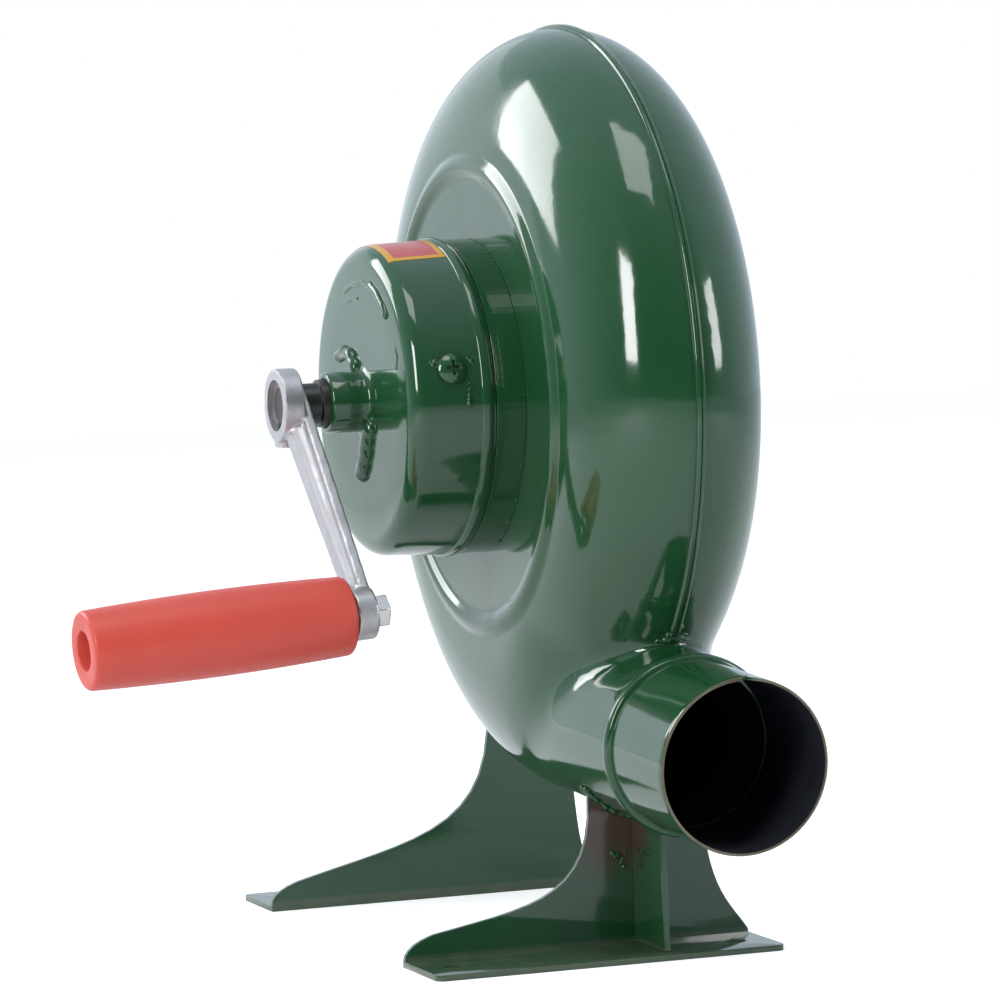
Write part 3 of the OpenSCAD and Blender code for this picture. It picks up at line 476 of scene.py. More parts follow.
# chemical black on turned steel: near black, satin, a little brown where oil has dried; on the
# crank shaft's end it is painted shade, dark in the hub's recess
blackOxideAndShade = clouded("blackOxideSteelAndRecessShade", 5 * mm, ("#1c1f1e", "#33322d"), (0.28, 0.5),
                     relief=0.03 * mm, IOR=1.6, Metallic=0.35)
# inner wall of the ducting: near black with a blue tint, painted shade for the unlit inside of the
# housing and sleeve
shadeDarkInnerWall = clouded("paintedShadeInnerWall", 14 * mm, ("#15171f", "#24262f"), (0.45, 0.7),
                    IOR=1.45, Specular_IOR_Level=0.3)
# cut sheet edge that the paint missed: grey brown steel with a dull grain
sheetEdge = clouded("bareSheetEdge", 6 * mm, ("#8d8673", "#4f4a3c"), (0.35, 0.6), 5.0, 0.65,
                    IOR=1.5, Metallic=0.75)


def mouldedGrip():
    # moulded polypropylene grip: warm red, satin, with faint flow clouds and handling scuffs
    material, shader, spot = newMaterial(
        "mouldedRedGrip", IOR=1.49, Subsurface_Weight=0.06, Subsurface_Scale=1.0,
        Subsurface_Radius=(4 * mm, 1.2 * mm, 0.8 * mm))
    cloud = addNode(material, "TexNoise", {"Scale": 1 / (26 * mm), "Detail": 3.0}, {"Vector": spot})
    tone = addNode(material, "Mix", {"data_type": "RGBA", 6: hexColour("#d85042"),
                                     7: hexColour("#ca483b")}, {0: cloud.outputs["Fac"]})
    scuff = addNode(material, "TexNoise", {"Scale": 1 / (3 * mm), "Detail": 5.0, "Roughness": 0.65},
                    {"Vector": spot})
    gloss = addNode(material, "MapRange", {"From Min": 0.3, "From Max": 0.7, "To Min": 0.33,
                                           "To Max": 0.48}, {"Value": scuff.outputs["Fac"]})
    bump = addNode(material, "Bump", {"Strength": 0.5, "Distance": 0.05 * mm},
                   {"Height": scuff.outputs["Fac"]})
    return feed(material, shader, Base_Color=tone.outputs[2], Roughness=gloss.outputs[0],
                Normal=bump.outputs[0])


label = {"start": 64.2, "end": 116, "back": 50.5, "front": 70.6, "radius": 53.0, "film": 0.12,
         "border": 2.2, "lift": 0.02, "inset": 0.3}


def blankLabel():
    # printed film with a red field in a yellow border, under a clear gloss
    material, shader, spot = newMaterial("printedFilm", IOR=1.5)
    right, back, high = (c * mm for c in layout["fanAxis"])
    parts = addNode(material, "SeparateXYZ", None, {0: spot})
    across = addNode(material, "Math", {"operation": "SUBTRACT", 1: right}, {0: parts.outputs["X"]})
    above = addNode(material, "Math", {"operation": "SUBTRACT", 1: high}, {0: parts.outputs["Z"]})
    angle = addNode(material, "Math", {"operation": "ARCTAN2"},
                    {0: above.outputs[0], 1: across.outputs[0]})
    arcMiddle = math.radians((label["start"] + label["end"]) / 2)
    arcHalf = math.radians((label["end"] - label["start"]) / 2) - label["border"] / label["radius"]
    depthMiddle = back - (label["back"] + label["front"]) / 2 * mm
    depthHalf = ((label["front"] - label["back"]) / 2 - label["border"]) * mm
    edges = []
    for source, middle, half in ((angle.outputs[0], arcMiddle, arcHalf),
                                 (parts.outputs["Y"], depthMiddle, depthHalf)):
        off = addNode(material, "Math", {"operation": "SUBTRACT", 1: middle}, {0: source})
        away = addNode(material, "Math", {"operation": "ABSOLUTE"}, {0: off.outputs[0]})
        edges.append(addNode(material, "Math", {"operation": "GREATER_THAN", 1: half},
                             {0: away.outputs[0]}).outputs[0])
    edge = addNode(material, "Math", {"operation": "MAXIMUM"}, dict(enumerate(edges)))
    wear = addNode(material, "TexNoise", {"Scale": 1 / (5 * mm), "Detail": 4.0}, {"Vector": spot})
    red = addNode(material, "Mix", {"data_type": "RGBA", 6: hexColour("#b5323a"),
                                    7: hexColour("#cf5a58")}, {0: wear.outputs["Fac"]})
    colour = addNode(material, "Mix", {"data_type": "RGBA", 7: hexColour("#d99a1c")},
                     {0: edge.outputs[0], 6: red.outputs[2]})
    gloss = addNode(material, "MapRange", {"To Min": 0.12, "To Max": 0.3},
                    {"Value": wear.outputs["Fac"]})
    return feed(material, shader, Base_Color=colour.outputs[2], Roughness=gloss.outputs[0])


redGrip = mouldedGrip()
labelFilm = blankLabel()
print("materials made")


# spiral housing: closed spun sectors and the neck, fused, parted at the seam and given a wall

volute = {
    "arcs": [  # centre across, centre up, radius, first angle, turn
        (1.75, 1.75, 117.75, -102, 102.5),
        (-1.75, 1.75, 121.25, -0.5, 91),
        (-1.75, 0.25, 122.75, 89.5, 91),
        (12.135, 0.25, 136.635, 179.5, 91),
        (12.135, -76.385, 60, 269.5, 91)],
    "halfDepth": 35, "roundWidth": 46, "wall": 1.5, "stepAngle": 3.75,
    "neckRadius": 28.9, "neckBack": 78, "neckAhead": 3, "neckFrom": 80, "neckEnd": 0.3,
    "voxel": 1.5, "smoothing": 14, "creaseSmoothing": 90, "creaseReach": 24, "creaseGain": 1.6,
    "crease": [(27, -100), (50, -88), (75, -79), (87, -75), (100, -72)],
    "ringRadius": 77.6, "ringWidth": 9, "ringHeight": 1.7, "flatFrom": 28,
    "hubHole": 14.2, "inlet": 37, "holeDepth": 12,
    "lipSpans": [(0, -52, 52), (1, 0, 90), (2, 90, 90), (3, 180, 87)],  # arc, first angle, turn
    "lip": [  # height over the arc, distance from the seam
        (-1.4, 0), (0.65, 0), (1.0, 0.22), (1.1, 0.7), (0.85, 1.25), (0.05, 1.7), (-1.4, 1.7)],
}


def scrollSector(index):
    across, up, radius, start, turn = volute["arcs"][index]
    half, wide = volute["halfDepth"], volute["roundWidth"]
    outline = [(0, -half), *bend(radius - wide, 0, wide, half, -90, 90, 40), (0, half)]
    return turned("scroll%d" % index, moved(blower, across, up), outline,
                  round(turn / volute["stepAngle"]), turn, start)


def distanceTo(spot, first, last):
    span = last - first
    share = max(0.0, min(1.0, (spot - first).dot(span) / span.length_squared))
    return (spot - first - span * share).length


def fusedVolute():
    back, ahead = volute["neckBack"], volute["neckAhead"]
    sectors = [scrollSector(index) for index in range(len(volute["arcs"]))]
    middle = moved(outlet, 0, 0, (ahead - back) / 2)
    neck = added(bpy.ops.mesh.primitive_cylinder_add, middle, vertices=128,
                 radius=volute["neckRadius"] * mm, depth=(back + ahead) * mm)
    body = fused("voluteBody", [*sectors, neck], volute["voxel"], volute["smoothing"])
    crease = [Vector(point) for point in volute["crease"]]

    def nearCrease(local):
        near = min(distanceTo(local.xy, *ends) for ends in zip(crease, crease[1:]))
        return min(1.0, volute["creaseGain"] * (1 - near / volute["creaseReach"]))
    weigh(body, "crease", blower, nearCrease)
    return modify(body, "SMOOTH", factor=0.5, iterations=volute["creaseSmoothing"],
                  vertex_group="crease")


def raiseRing(shell):
    half = volute["ringWidth"] / 2

    def offRing(local):
        off = abs(offAxis(local) - volute["ringRadius"])
        return off if local.z > volute["flatFrom"] else math.inf

    def profile(local):
        off = offRing(local) / half
        return (1 - off * off) ** 1.5 if off < 1 else 0
    selectWhere(shell, lambda face: offRing(within(blower, face.center)) < half + 1, "FACE")
    bpy.ops.mesh.subdivide(number_cuts=1)
    objectMode()
    lift(shell, "ring", blower, profile, volute["ringHeight"])


def halfShell(body, name, front):
    shell = duplicate(body, name)
    editAll(shell)
    bpy.ops.mesh.bisect(plane_co=at(blower), plane_no=(0, 1, 0), clear_outer=front,
                        clear_inner=not front)
    objectMode()

    def onNeck(face):  # only the neck is trimmed, not the rim that reaches further out
        local = within(blower, face.center)
        return local.x > volute["neckFrom"] and local.y < -volute["neckFrom"]
    selectWhere(shell, onNeck, "FACE")
    bpy.ops.mesh.bisect(plane_co=at(outlet, 0, 0, volute["neckEnd"]), plane_no=aim(outlet),
                        clear_outer=True)
    objectMode()
    if front:
        raiseRing(shell)
    # the wall's inner side, made by the solidify below, takes the near black painted shade
    paint(shell, housingEnamel, shadeDarkInnerWall)
    modify(shell, "SOLIDIFY", thickness=volute["wall"] * mm, offset=-1, material_offset=1)
    hole, side = (volute["hubHole"], 1) if front else (volute["inlet"], -1)
    drill(shell, moved(blower, 0, 0, side * volute["halfDepth"]), hole, volute["holeDepth"], 96)
    return shell


def seamLips(front):
    side = 1 if front else -1
    lips = []
    for index, start, turn in volute["lipSpans"]:
        across, up, radius = volute["arcs"][index][:3]
        outline = [(radius + rise, away * side) for rise, away in volute["lip"]]
        lips.append(turned("lip%d" % index, moved(blower, across, up), outline, round(turn / 2),
                           turn, start, 50))
    return paint(joinAll("seamLip", lips), housingEnamel)


voluteBody = fusedVolute()
print("volute fused", len(voluteBody.data.polygons))
for name, front, node in (("voluteFrontSkin", True, "volute_front_shell"),
                          ("voluteRearSkin", False, "volute_rear_shell")):
    skin = joinAll(name, [halfShell(voluteBody, name, front), seamLips(front)])
    dress(soften(skin, 40), "housing", None, "green_enamel", node)
    print("housing half", name, len(skin.data.polygons))
bpy.data.objects.remove(voluteBody)


# outlet sleeve: rolled root bead, lapped seam on top with a notch at the mouth, bare cut rim

sleeve = {
    "radius": 28.5, "wall": 0.95, "length": 49, "start": 0.4,
    "beadMiddle": 2.9, "beadHalf": 2.4, "beadHeight": 1.7,
    "outerLoops": (7, 12, 18, 24, 30, 36, 42, 46), "innerLoops": (36, 24, 12),
    "outerRim": [(0, 0.35), (0.12, 0.08), (0.35, 0)],  # into the wall, back from the mouth
    "innerRim": [(0.3, 0), (0.08, 0.1), (0, 0.4)], "rimDepth": 0.45,
    "lapAngle": 86, "lapWidth": 34, "lapHeight": 0.75, "lapFrom": 5.5, "lapEdge": 0.35,
    "notchDepth": 3.4, "notchWidth": 3.0, "notchAhead": 0.6, "notchLength": 8,
}


def outletSleeve():
    outer, inner = sleeve["radius"], sleeve["radius"] - sleeve["wall"]
    start, end = sleeve["start"], sleeve["length"]
    outline = [(inner, start), (outer, start)]
    for step in range(9):  # root bead
        angle = math.pi * step / 8
        outline.append((outer + sleeve["beadHeight"] * math.sin(angle) ** 0.8 + 0.05,
                        sleeve["beadMiddle"] - sleeve["beadHalf"] * math.cos(angle)))
    outline += [(outer, place) for place in sleeve["outerLoops"]]
    outline += [(outer - off, end - back) for off, back in sleeve["outerRim"]]
    outline += [(inner + off, end - back) for off, back in sleeve["innerRim"]]
    outline += [(inner, place) for place in sleeve["innerLoops"]]
    piece = turned("outletSleeveRolled", outlet, outline, 120, smoothAngle=40)
    # edge loops on both sides of the lap, so that the sheet's step is crisp
    for offset in (-sleeve["lapEdge"], sleeve["lapEdge"]):
        editAll(piece)
        across = rolled(outlet, sleeve["lapAngle"] + offset).to_3x3() @ Vector((0, 1, 0))
        bpy.ops.mesh.bisect(plane_co=at(outlet), plane_no=across)
        objectMode()

    def lapped(local):
        turn = math.degrees(math.atan2(local.y, local.x)) - sleeve["lapAngle"]
        share = 1 - turn / sleeve["lapWidth"]
        outside = offAxis(local) > outer - 0.5 and local.z > sleeve["lapFrom"]
        return share ** 1.3 if outside and 0 <= share <= 1 else 0
    lift(piece, "lap", outlet, lapped, sleeve["lapHeight"])
    notch = added(bpy.ops.mesh.primitive_cylinder_add, vertices=4, radius=1,
                  depth=sleeve["notchLength"] * mm)
    notch.scale = (sleeve["notchWidth"] * mm, sleeve["notchDepth"] * mm, 1)
    top = moved(rolled(outlet, sleeve["lapAngle"] - 90), 0, outer, end + sleeve["notchAhead"])
    cutAway(piece, put(settle(notch), rolled(top, -90, "X")))
    paint(soften(piece, 40), housingEnamel, shadeDarkInnerWall, sheetEdge)
    for face in piece.data.polygons:
        local = within(outlet, face.center)
        if local.z > end - sleeve["rimDepth"]:
            face.material_index = 2
        # faces inside the sleeve take the near black painted shade
        elif offAxis(local) < inner + 0.25:
            face.material_index = 1
    dress(piece, "housing", None, "green_enamel", "outlet_sleeve")


outletSleeve()
print("sleeve rolled")


# gearbox: drawn cover with a rolled rim, welded base ring, boss, collar, label, painted screws

gearbox = {
    "radius": 53, "face": 74.2, "corner": 6, "draft": 0.8, "skirt": 45.6, "wall": 1.2, "hole": 8.2,
    "rimFrom": 46.1, "rimTo": 50.4, "rimHeight": 0.9, "faceLoops": (20, 34), "sideLoops": (64, 58),
    "bossRadius": 10.2, "bossFront": 87.6, "bossBore": 8.4, "boreBack": 83.7, "bossSeat": 8.1,
    "bossRoot": [(2.2, -0.1), (1.1, 0.25), (0.4, 0.9), (0, 2), (0, 5)],  # wider, over the face
    "bossEdge": [(0, 0.9), (0.3, 0.25), (0.8, 0)],  # narrower, back from the end
    "baseWeld": (52.4, 35.4, 1.1, 150), "bossWeld": (10.7, 74.45, 0.75, 34),  # as in lumpyRing
    "screwDrips": [  # paint gathered by the screw that shows: degrees round, in front, radius
        (15.4, 64.2, 0.9), (16.0, 65.3, 1.0), (14.6, 66.2, 0.8), (15.8, 67.0, 0.7),
        (15.4, 62.9, 0.7), (13.8, 64.8, 0.6), (16.4, 54.2, 0.8), (15.4, 53.2, 0.9),
        (14.2, 52.4, 0.6), (7.5, 54.2, 0.6), (5.4, 54.4, 0.7), (3.4, 54.6, 0.8),
        (1.4, 54.8, 1.0), (0.2, 54.8, 1.1)],
}
coverRuns = {  # thick paint on the cover's face: (across, up) from its middle, half width, height
    "upperArc": ([(-15, 36.5), (-6.1, 39), (4.6, 40), (14.9, 38.2)], 1.2, 0.5),
    "arcTail": ([(13, 38.9), (17, 37.6), (22.9, 34.2), (28, 29.5)], 1.9, 1.3),
    "innerArc": ([(-14, 33), (-7, 34.5), (-1, 34.6)], 1.1, 0.4),
    "hook": ([(-22, 14.5), (-16.4, 16.2), (-10, 15.6), (-6, 12.6), (-4, 9.5)], 2.3, 2.4),
    "drip": ([(7.5, -9), (5, -13), (3.4, -17), (1, -21), (-2, -24.5)], 3.4, 2.8),
    "dripEdge": ([(-3, -14), (-6, -19), (-9, -24)], 1.0, 0.5),
    "edgeDrips": ([(36, 19), (38, 16), (37, 12.5)], 1.2, 0.4),
}


def coverRadius(front):
    # outside radius of the cover's side, drawn slightly narrower to the face, and of its corner
    wide, draft, corner = gearbox["radius"], gearbox["draft"], gearbox["corner"]
    start = gearbox["face"] - corner
    if front <= start:
        return wide - draft * (front - gearbox["rimTo"]) / (start - gearbox["rimTo"])
    rise = min(1.0, (front - start) / corner)
    return wide - draft - corner * (1 - math.sqrt(1 - rise * rise))


def drawnCover():
    wide, face, wall, corner = (gearbox[key] for key in ("radius", "face", "wall", "corner"))
    low, high, hole = gearbox["rimFrom"], gearbox["rimTo"], gearbox["hole"]
    narrow, skirt = wide - gearbox["draft"], gearbox["skirt"]
    outline = [(hole, face), *((radius, face) for radius in gearbox["faceLoops"])]
    outline += bend(narrow - corner, face - corner, corner, corner, 90, 0, 8)
    outline += [(coverRadius(front), front) for front in (*gearbox["sideLoops"], high + 0.3)]
    outline += bend(wide, (low + high) / 2, gearbox["rimHeight"], (high - low) / 2, 90, -90, 8)
    outline += [(wide, skirt), (wide - wall, skirt), (narrow - wall, face - corner),
                (narrow - corner, face - wall), (hole, face - wall)]
    return turned("gearCoverDrawn", blower, outline, 144, smoothAngle=40)


def paintRun(name, place, points, widths, height):
    # a run of thick paint: swelling beads along its way, fused, sunk half into the surface
    beads = []
    for (across, up), width in zip(points, widths):
        bead = added(bpy.ops.mesh.primitive_uv_sphere_add, segments=16, ring_count=8,
                     radius=width * mm, location=at(place, across, up))
        bead.scale = (1, height / width, 1)
        beads.append(settle(bead))
    return soften(fused(name, beads, 0.3, 12))


def lump(spot, radius, detail=2):
    return added(bpy.ops.mesh.primitive_ico_sphere_add, subdivisions=detail, radius=radius * mm,
                 location=spot)


def lumpyRing(name, radius, depth, size, count):
    # a ring of uneven beads, fused: weld or thick paint gathered in a corner
    lumps = []
    for index in range(count):
        swell = 0.28 * math.sin(index * 1.7) * math.sin(index * 0.61 + 1)
        wide = size * (0.72 + swell + 0.12 * math.sin(index * 4.1))
        lumps.append(lump(around(blower, radius, 360 * index / count, depth), wide, 1))
    return soften(fused(name, lumps, 0.42, 4))


def gearboxPieces():
    face = gearbox["face"]
    runs = []
    for name, (points, width, height) in coverRuns.items():
        places = spread(points, 9)
        widths = [width * (0.82 + 0.2 * math.sin(0.31 * index + len(points)) ** 2)
                  for index in range(len(places))]
        runs.append(paintRun(name, moved(blower, 0, 0, face), places, widths, height))
    cover = joinAll("gearCoverDrawn", [drawnCover(), *runs])
    dress(cover, "housing", coverEnamel, "green_enamel", "gearbox_cover")

    base = soften(bevelled(copyNode("gearbox_base", "gearBaseCup"), 0.35, 2, 40), 40)
    base = joinAll("gearBaseCup", [base, lumpyRing("baseWeld", *gearbox["baseWeld"])])
    dress(base, "housing", coverEnamel, "green_enamel", "gearbox_base")

    radius, last, seat = gearbox["bossRadius"], gearbox["bossFront"], gearbox["bossSeat"]
    bore, deep = gearbox["bossBore"], gearbox["boreBack"]
    outline = [(seat, face + 0.05)]
    outline += [(radius + off, face + above) for off, above in gearbox["bossRoot"]]
    outline += [(radius - off, last - back) for off, back in gearbox["bossEdge"]]
    outline += [(bore, last), (bore, deep), (seat, deep)]
    boss = turned("crankBossTube", blower, outline, 72, smoothAngle=40)
    boss = joinAll("crankBossTube", [boss, lumpyRing("bossWeld", *gearbox["bossWeld"])])
    dress(boss, "housing", coverEnamel, "green_enamel", "crank_boss")

    first, length = label["back"] + label["inset"], label["front"] - label["back"] - label["inset"]
    fronts = [first + length * step / 9 for step in range(10)]
    outline = [(coverRadius(front) + label["film"], front) for front in fronts]
    outline += [(coverRadius(front) + label["lift"], front) for front in reversed(fronts)]
    film = turned("coverLabelFilm", blower, outline, 40, label["end"] - label["start"],
                  label["start"])
    dress(film, "housing", labelFilm, "label_film", "cover_label")

    screws = bevelled(copyNode("cover_screws", "coverScrewsPainted"), 0.18)
    drips = [lump(around(blower, coverRadius(front), turn, front), radius)
             for turn, front, radius in gearbox["screwDrips"]]
    drips = soften(fused("screwDrips", drips, 0.25, 2))
    dress(joinAll("coverScrewsPainted", [screws, drips]), "housing", coverEnamel, "green_enamel",
          "cover_screws")
    softCopy("shaft_collar", "shaftCollarTurned", "crank", blackOxideAndShade, "black_oxide", 0.35, 3)


gearboxPieces()
print("gearbox built")


# crank: cast arm fused from its hub, ridge, lug and eye; shoulder bolt, nut and barrel grip

crank = {
    "hubRadius": 12.3, "hubBack": 97.9, "hubFront": 104.8, "recess": 8.6, "recessDepth": 2.4,
    "shaft": 6.05, "seat": 6.95, "seatDepth": 3, "armWidth": 14.5, "armEnd": 12.0, "armThick": 3.6,
    "armBack": -3.9, "armRise": 2.2, "ridge": 4.5, "ridgeEnd": 4.2, "ridgeBack": -1.2,
    "eyeRadius": 8.7, "eyeThick": 7.1, "boltHole": 3.15, "through": 12,
    "lugAngle": -96, "lugRadius": 3.444, "lugReach": 14, "voxel": 0.42, "smoothing": 5,
}


def castCrank():
    length, wide, thick = layout["crankLength"], crank["armWidth"], crank["armThick"]
    back, front = crank["hubBack"], crank["hubFront"]
    hub = moved(blower, 0, 0, (back + front) / 2)
    ridge = rolled(moved(crankHub, length / 2, 0, crank["ridgeBack"]), 90, "Y")
    lug = rolled(moved(rolled(hub, crank["lugAngle"]), crank["lugReach"] / 2), 90, "Y")
    blanks = []
    for place, first, last, reach, sides in (
            (hub, crank["hubRadius"], crank["hubRadius"], front - back, 72),
            (handle, crank["eyeRadius"], crank["eyeRadius"], crank["eyeThick"], 64),
            (ridge, crank["ridge"], crank["ridgeEnd"], length, 40),
            (lug, crank["lugRadius"], crank["lugRadius"], crank["lugReach"], 40)):
        blanks.append(added(bpy.ops.mesh.primitive_cone_add, place, vertices=sides,
                            radius1=first * mm, radius2=last * mm, depth=reach * mm))
    arm = settle(added(bpy.ops.mesh.primitive_cube_add, size=1, location=(0.5, 0, 0)))
    selectWhere(arm, lambda vertex: vertex.co.x > 0.5)
    bpy.ops.transform.resize(value=(1, crank["armEnd"] / wide, 1), center_override=(1, 0, 0))
    bpy.ops.transform.translate(value=(0, 0, crank["armRise"] / thick))
    objectMode()
    arm.scale = (length * mm, wide * mm, thick * mm)
    blanks.append(put(settle(arm), moved(crankHub, 0, 0, crank["armBack"])))
    casting = fused("crankCasting", blanks, crank["voxel"], crank["smoothing"])
    drill(casting, moved(blower, 0, 0, front + 2 - crank["recessDepth"]), crank["recess"], 4)
    drill(casting, hub, crank["shaft"], crank["through"])
    drill(casting, handle, crank["boltHole"], crank["through"])
    seat = moved(blower, 0, 0, back - crank["seatDepth"])  # spot face for the collar
    drill(casting, seat, crank["seat"], 2 * crank["seatDepth"])
    dress(soften(casting, 35), "crank", castAlloy, "cast_alloy", "crank_arm")


grip = {"start": 5.2, "length": 89.9, "endRadius": 13, "middleRadius": 14.05, "edge": 1.5,
        "recess": 6.4, "recessDepth": 14, "bore": 4.3}


def barrelGrip():
    first, last = grip["start"], grip["start"] + grip["length"]
    end, edge, bore = grip["endRadius"], grip["edge"], grip["bore"]
    outline = [(bore, first), *bend(end - edge, first + edge, edge, edge, -90, 0, 5)]
    for step in range(1, 16):
        share = step / 16
        bulge = (grip["middleRadius"] - end) * math.sin(math.pi * share) ** 0.9
        outline.append((end + bulge, first + edge + share * (grip["length"] - 2 * edge)))
    outline += bend(end - edge, last - edge, edge, edge, 0, 90, 5)
    mouth, deep = grip["recess"], last - grip["recessDepth"]
    outline += [(mouth + 0.7, last), (mouth + 0.2, last - 0.2), (mouth, last - 0.7), (mouth, deep),
                (bore, deep)]
    piece = turned("handGripMoulded", handle, outline, 96, smoothAngle=40)
    dress(piece, "grip", redGrip, "red_plastic", "handle_grip")


castCrank()
barrelGrip()
softCopy("handle_nut", "handleNutHex", "crank", brightZinc, "bright_zinc", 0.3)
softCopy("handle_washer", "handleWasherPlain", "crank", brightZinc, "bright_zinc", 0.15)
softCopy("crank_set_screw", "setScrewBlack", "crank", blackOxideAndShade, "black_oxide", 0.12)
print("crank built")


# feet: bent sheet with soft paint edges, the gusset, and the welds that hold them

feet = {"right_foot": ("rightFootSheet", 0.55), "left_foot": ("leftFootSheet", 0.55),
        "foot_gusset": ("gussetSheet", 0.4)}
for node, (name, edge) in feet.items():
    soften(softCopy(node, name, "housing", footEnamel, "green_enamel", edge, 3, 50), 40)

welds = {  # voxel, smoothing, whether the lumps form a chain, and (across, up, front, radius)
    # paint gathered in the crease over the neck
    "tongueWeld": (0.4, 5, True, [
        (88.6, -78.4, 6, 0.9), (89.0, -78.2, 4, 1.2), (89.4, -77.8, 2, 1.5), (89.6, -77.4, -1, 1.6),
        (89.2, -77.8, -3.5, 1.2), (88.8, -78.2, -5, 0.8)]),
    # one spiky lump where the seam ends
    "seamEndLump": (0.35, 1, False, [
        (90.0, -75.4, 0, 2.0), (91.4, -73.8, -1.6, 1.3), (92.4, -76.0, -3.0, 1.2),
        (93.2, -77.2, -1.0, 0.9), (90.8, -72.8, 0.4, 0.9), (90.4, -76.2, 2.2, 1.3)]),
    "webSpatter": (0.3, 2, False, [
        (63.7, -150.7, 12.4, 1.5), (63.8, -150.2, 14.2, 1.2), (63.8, -151.6, 10.6, 1.2),
        (63.7, -153.2, 11.2, 1.0), (63.8, -149.6, 9.6, 0.9), (63.7, -154.8, 10.2, 0.7),
        (64.2, -151.0, 13.4, 1.3)]),
    "gussetWeld": (0.3, 2, False, [
        (64.6, -179.0, 4.4, 1.1), (66.0, -179.2, 4.2, 1.3), (67.6, -179.0, 4.4, 1.2),
        (69.4, -178.8, 4.5, 1.5), (71.0, -179.2, 4.4, 1.1), (72.6, -179.4, 4.5, 0.9)]),
}
neckWeld = {"neckWeldFront": 64.1, "neckWeldBack": 60.9, "radius": 29.4, "reach": 23, "step": 2.3,
            "size": 1.25, "unevenness": 0.15}


def weldBlobs(name, voxel, smoothing, chain, spots):
    lumps = []
    for index, (across, up, front, radius) in enumerate(spread(spots, 3) if chain else spots):
        radius *= 0.8 + 0.25 * math.sin(index * 2.3) * math.sin(index * 0.7 + 1)
        up += 0.3 * math.sin(index * 1.9)
        lumps.append(lump(at(blower, across, up, front), radius))
    weld = soften(fused(name, lumps, voxel, smoothing))
    dress(weld, "housing", housingEnamel, "green_enamel")


def neckFillet(across):
    # places along the neck's underside, where it meets a face of the web that carries it
    drop = (layout["neckAcross"] - across) * math.tan(math.radians(layout["neckDip"]))
    spots = []
    for step in range(21):
        front = neckWeld["reach"] - neckWeld["step"] * step
        below = math.sqrt(neckWeld["radius"] ** 2 - front ** 2)
        size = neckWeld["size"] + neckWeld["unevenness"] * math.sin(step * 2.1)
        spots.append((across, layout["neckUp"] + drop - below, front, size))
    return spots


for name in ("neckWeldFront", "neckWeldBack"):
    welds[name] = (0.45, 6, True, neckFillet(neckWeld[name]))
for name, values in welds.items():
    weldBlobs(name, *values)
print("feet dressed")


# carried-over pieces keep their CAD shape and get their finish, except the crank shaft, whose end
# gets painted shade

finishes = [
    (brightZinc, ["housing_screws", "idler_clip", "guard_rivets", "handle_bolt",
                  "impeller_washer", "impeller_nut"]),
    (gearSteel, ["bearing_outer_rings", "bearing_inner_rings", "bearing_balls", "idler_gear",
                 "idler_pinion", "ring_gear", "fan_pinion"]),
    # the crank shaft's end in the hub's recess is made near black as painted shade, not as its own
    # finish
    (barSteel, ["idler_post", "fan_shaft"]), (blackOxideAndShade, ["crank_shaft"]),
    (bronzeBush, ["crank_bush"]), (castAlloy, ["bearing_housing"]), (fanAlloy, ["impeller"]),
    (housingEnamel, ["inlet_guard"])]
for material, nodes in finishes:
    for node in nodes:
        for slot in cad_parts[node].material_slots:
            slot.material = material
print("finishes set")


def viewDirection(turn, tilt):
    turn, tilt = math.radians(turn), math.radians(tilt)
    level = Vector((math.sin(turn), -math.cos(turn), 0))
    return level * math.cos(tilt) + Vector((0, 0, math.sin(tilt)))


# camera fitted to the photograph: angles in degrees, places in mm, focal length in pixels

photoView = {"azimuth": 70.2332, "elevation": 4.0245, "roll": -1.9663, "distance": 1800,
             "across": -24.7478, "up": -36.4484, "focal": 5293.2578, "pixels": 1000, "sensor": 36}


def addCamera():
    turn, roll = math.radians(photoView["azimuth"]), math.radians(photoView["roll"])
    back = viewDirection(photoView["azimuth"], photoView["elevation"])
    right = Vector((math.cos(turn), math.sin(turn), 0))
    up = back.cross(right)
    across = right * math.cos(roll) + up * math.sin(roll)
    high = up * math.cos(roll) - right * math.sin(roll)
    spot = (right * photoView["across"] + up * photoView["up"] + back * photoView["distance"]
            + Vector(layout["fanAxis"])) * mm
    data = bpy.data.cameras.new("photoCamera")
    data.sensor_width = photoView["sensor"]
    data.lens = photoView["sensor"] * photoView["focal"] / photoView["pixels"]
    camera = bpy.data.objects.new("photoCamera", data)
    axes = Matrix((across, high, back)).transposed().to_4x4()
    camera.matrix_world = Matrix.Translation(spot) @ axes
    bpy.context.collection.objects.link(camera)
    bpy.context.scene.camera = camera


addCamera()


# studio: white for the camera, dimmer from its side, soft boxes where the enamel has highlights

studio = {
    "boxes": [  # name, azimuth, elevation, distance, width, height, power in watts
        ("rimBox", 30, 20, 1.6, 0.32, 0.75, 11.5),
        ("rearBox", 139, 16, 1.6, 0.35, 0.6, 6),
        ("shoulderBox", -48, 26, 1.7, 0.75, 0.8, 12),
        ("topBox", 60, 72, 1.6, 0.7, 0.7, 5.5),
        ("backdropBox", -76, 8, 1.9, 1.7, 1.3, 2.4)],
    "aim": (9.5, 27, 160), "bright": 0.88, "dim": 0.09, "brightTurn": -110, "brightTilt": 20,
    "tint": "#dfeefd", "floor": "#e4e4e4", "floorSize": 6, "floorSeen": 0.56, "floorGloss": 0.13,
}


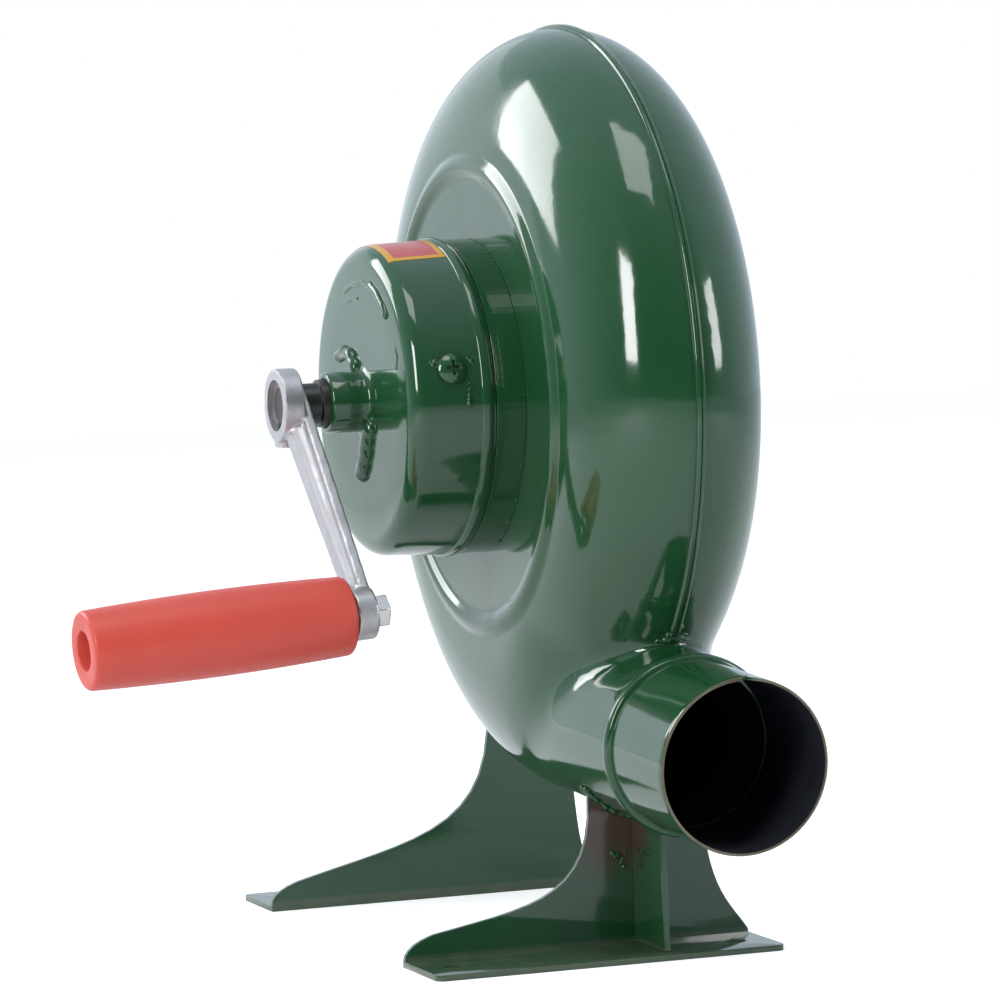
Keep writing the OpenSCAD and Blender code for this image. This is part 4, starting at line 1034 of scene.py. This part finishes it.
def addBoxes():
    for name, turn, tilt, distance, width, height, power in studio["boxes"]:
        data = bpy.data.lights.new(name, "AREA")
        data.shape = "RECTANGLE"
        data.size, data.size_y = width, height
        data.energy = power
        box = bpy.data.objects.new(name, data)
        direction = viewDirection(turn, tilt)
        facing = direction.to_track_quat("Z", "Y").to_matrix().to_4x4()
        spot = Vector(studio["aim"]) * mm + direction * distance
        box.matrix_world = Matrix.Translation(spot) @ facing
        bpy.context.collection.objects.link(box)


def addSurround():
    world = bpy.data.worlds.new("paleStudio")
    bpy.context.scene.world = world
    world.use_nodes = True
    side = addNode(world, "TexCoord")
    facing = addNode(world, "VectorMath", {"operation": "DOT_PRODUCT", 1: viewDirection(
        studio["brightTurn"], studio["brightTilt"])}, {0: side.outputs["Generated"]})
    fall = addNode(world, "MapRange", {
        "interpolation_type": "SMOOTHSTEP", "From Min": -0.9, "From Max": 0.45,
        "To Min": studio["dim"], "To Max": studio["bright"]}, {"Value": facing.outputs["Value"]})
    camera = addNode(world, "LightPath").outputs["Is Camera Ray"]
    seen = addNode(world, "Math", {"operation": "MAXIMUM"}, {0: fall.outputs[0], 1: camera})
    sky = addNode(world, "Mix", {"data_type": "RGBA", 6: hexColour(studio["tint"]),
                                 7: (1, 1, 1, 1)}, {0: camera})
    feed(world, world.node_tree.nodes["Background"], Color=sky.outputs[2], Strength=seen.outputs[0])


def addFloor():
    # pale floor, lifted to white for the camera and a little for reflections
    floor = added(bpy.ops.mesh.primitive_plane_add, size=studio["floorSize"])
    floor.name = "studioFloor"
    material, shader = newMaterial(
        "paleFloor", Roughness=0.9, Specular_IOR_Level=0.0, Base_Color=hexColour(studio["floor"]),
        Emission_Color=(1, 1, 1, 1))[:2]
    path = addNode(material, "LightPath")
    seen = addNode(material, "Math", {"operation": "MULTIPLY", 1: studio["floorSeen"]},
                   {0: path.outputs["Is Camera Ray"]})
    glow = addNode(material, "Math", {"operation": "MULTIPLY_ADD", 1: studio["floorGloss"]},
                   {0: path.outputs["Is Glossy Ray"], 2: seen.outputs[0]})
    feed(material, shader, Emission_Strength=glow.outputs[0])
    paint(floor, material)


addBoxes()
addSurround()
addFloor()
bpy.context.scene.view_settings.view_transform = "Standard"
print("studio set")
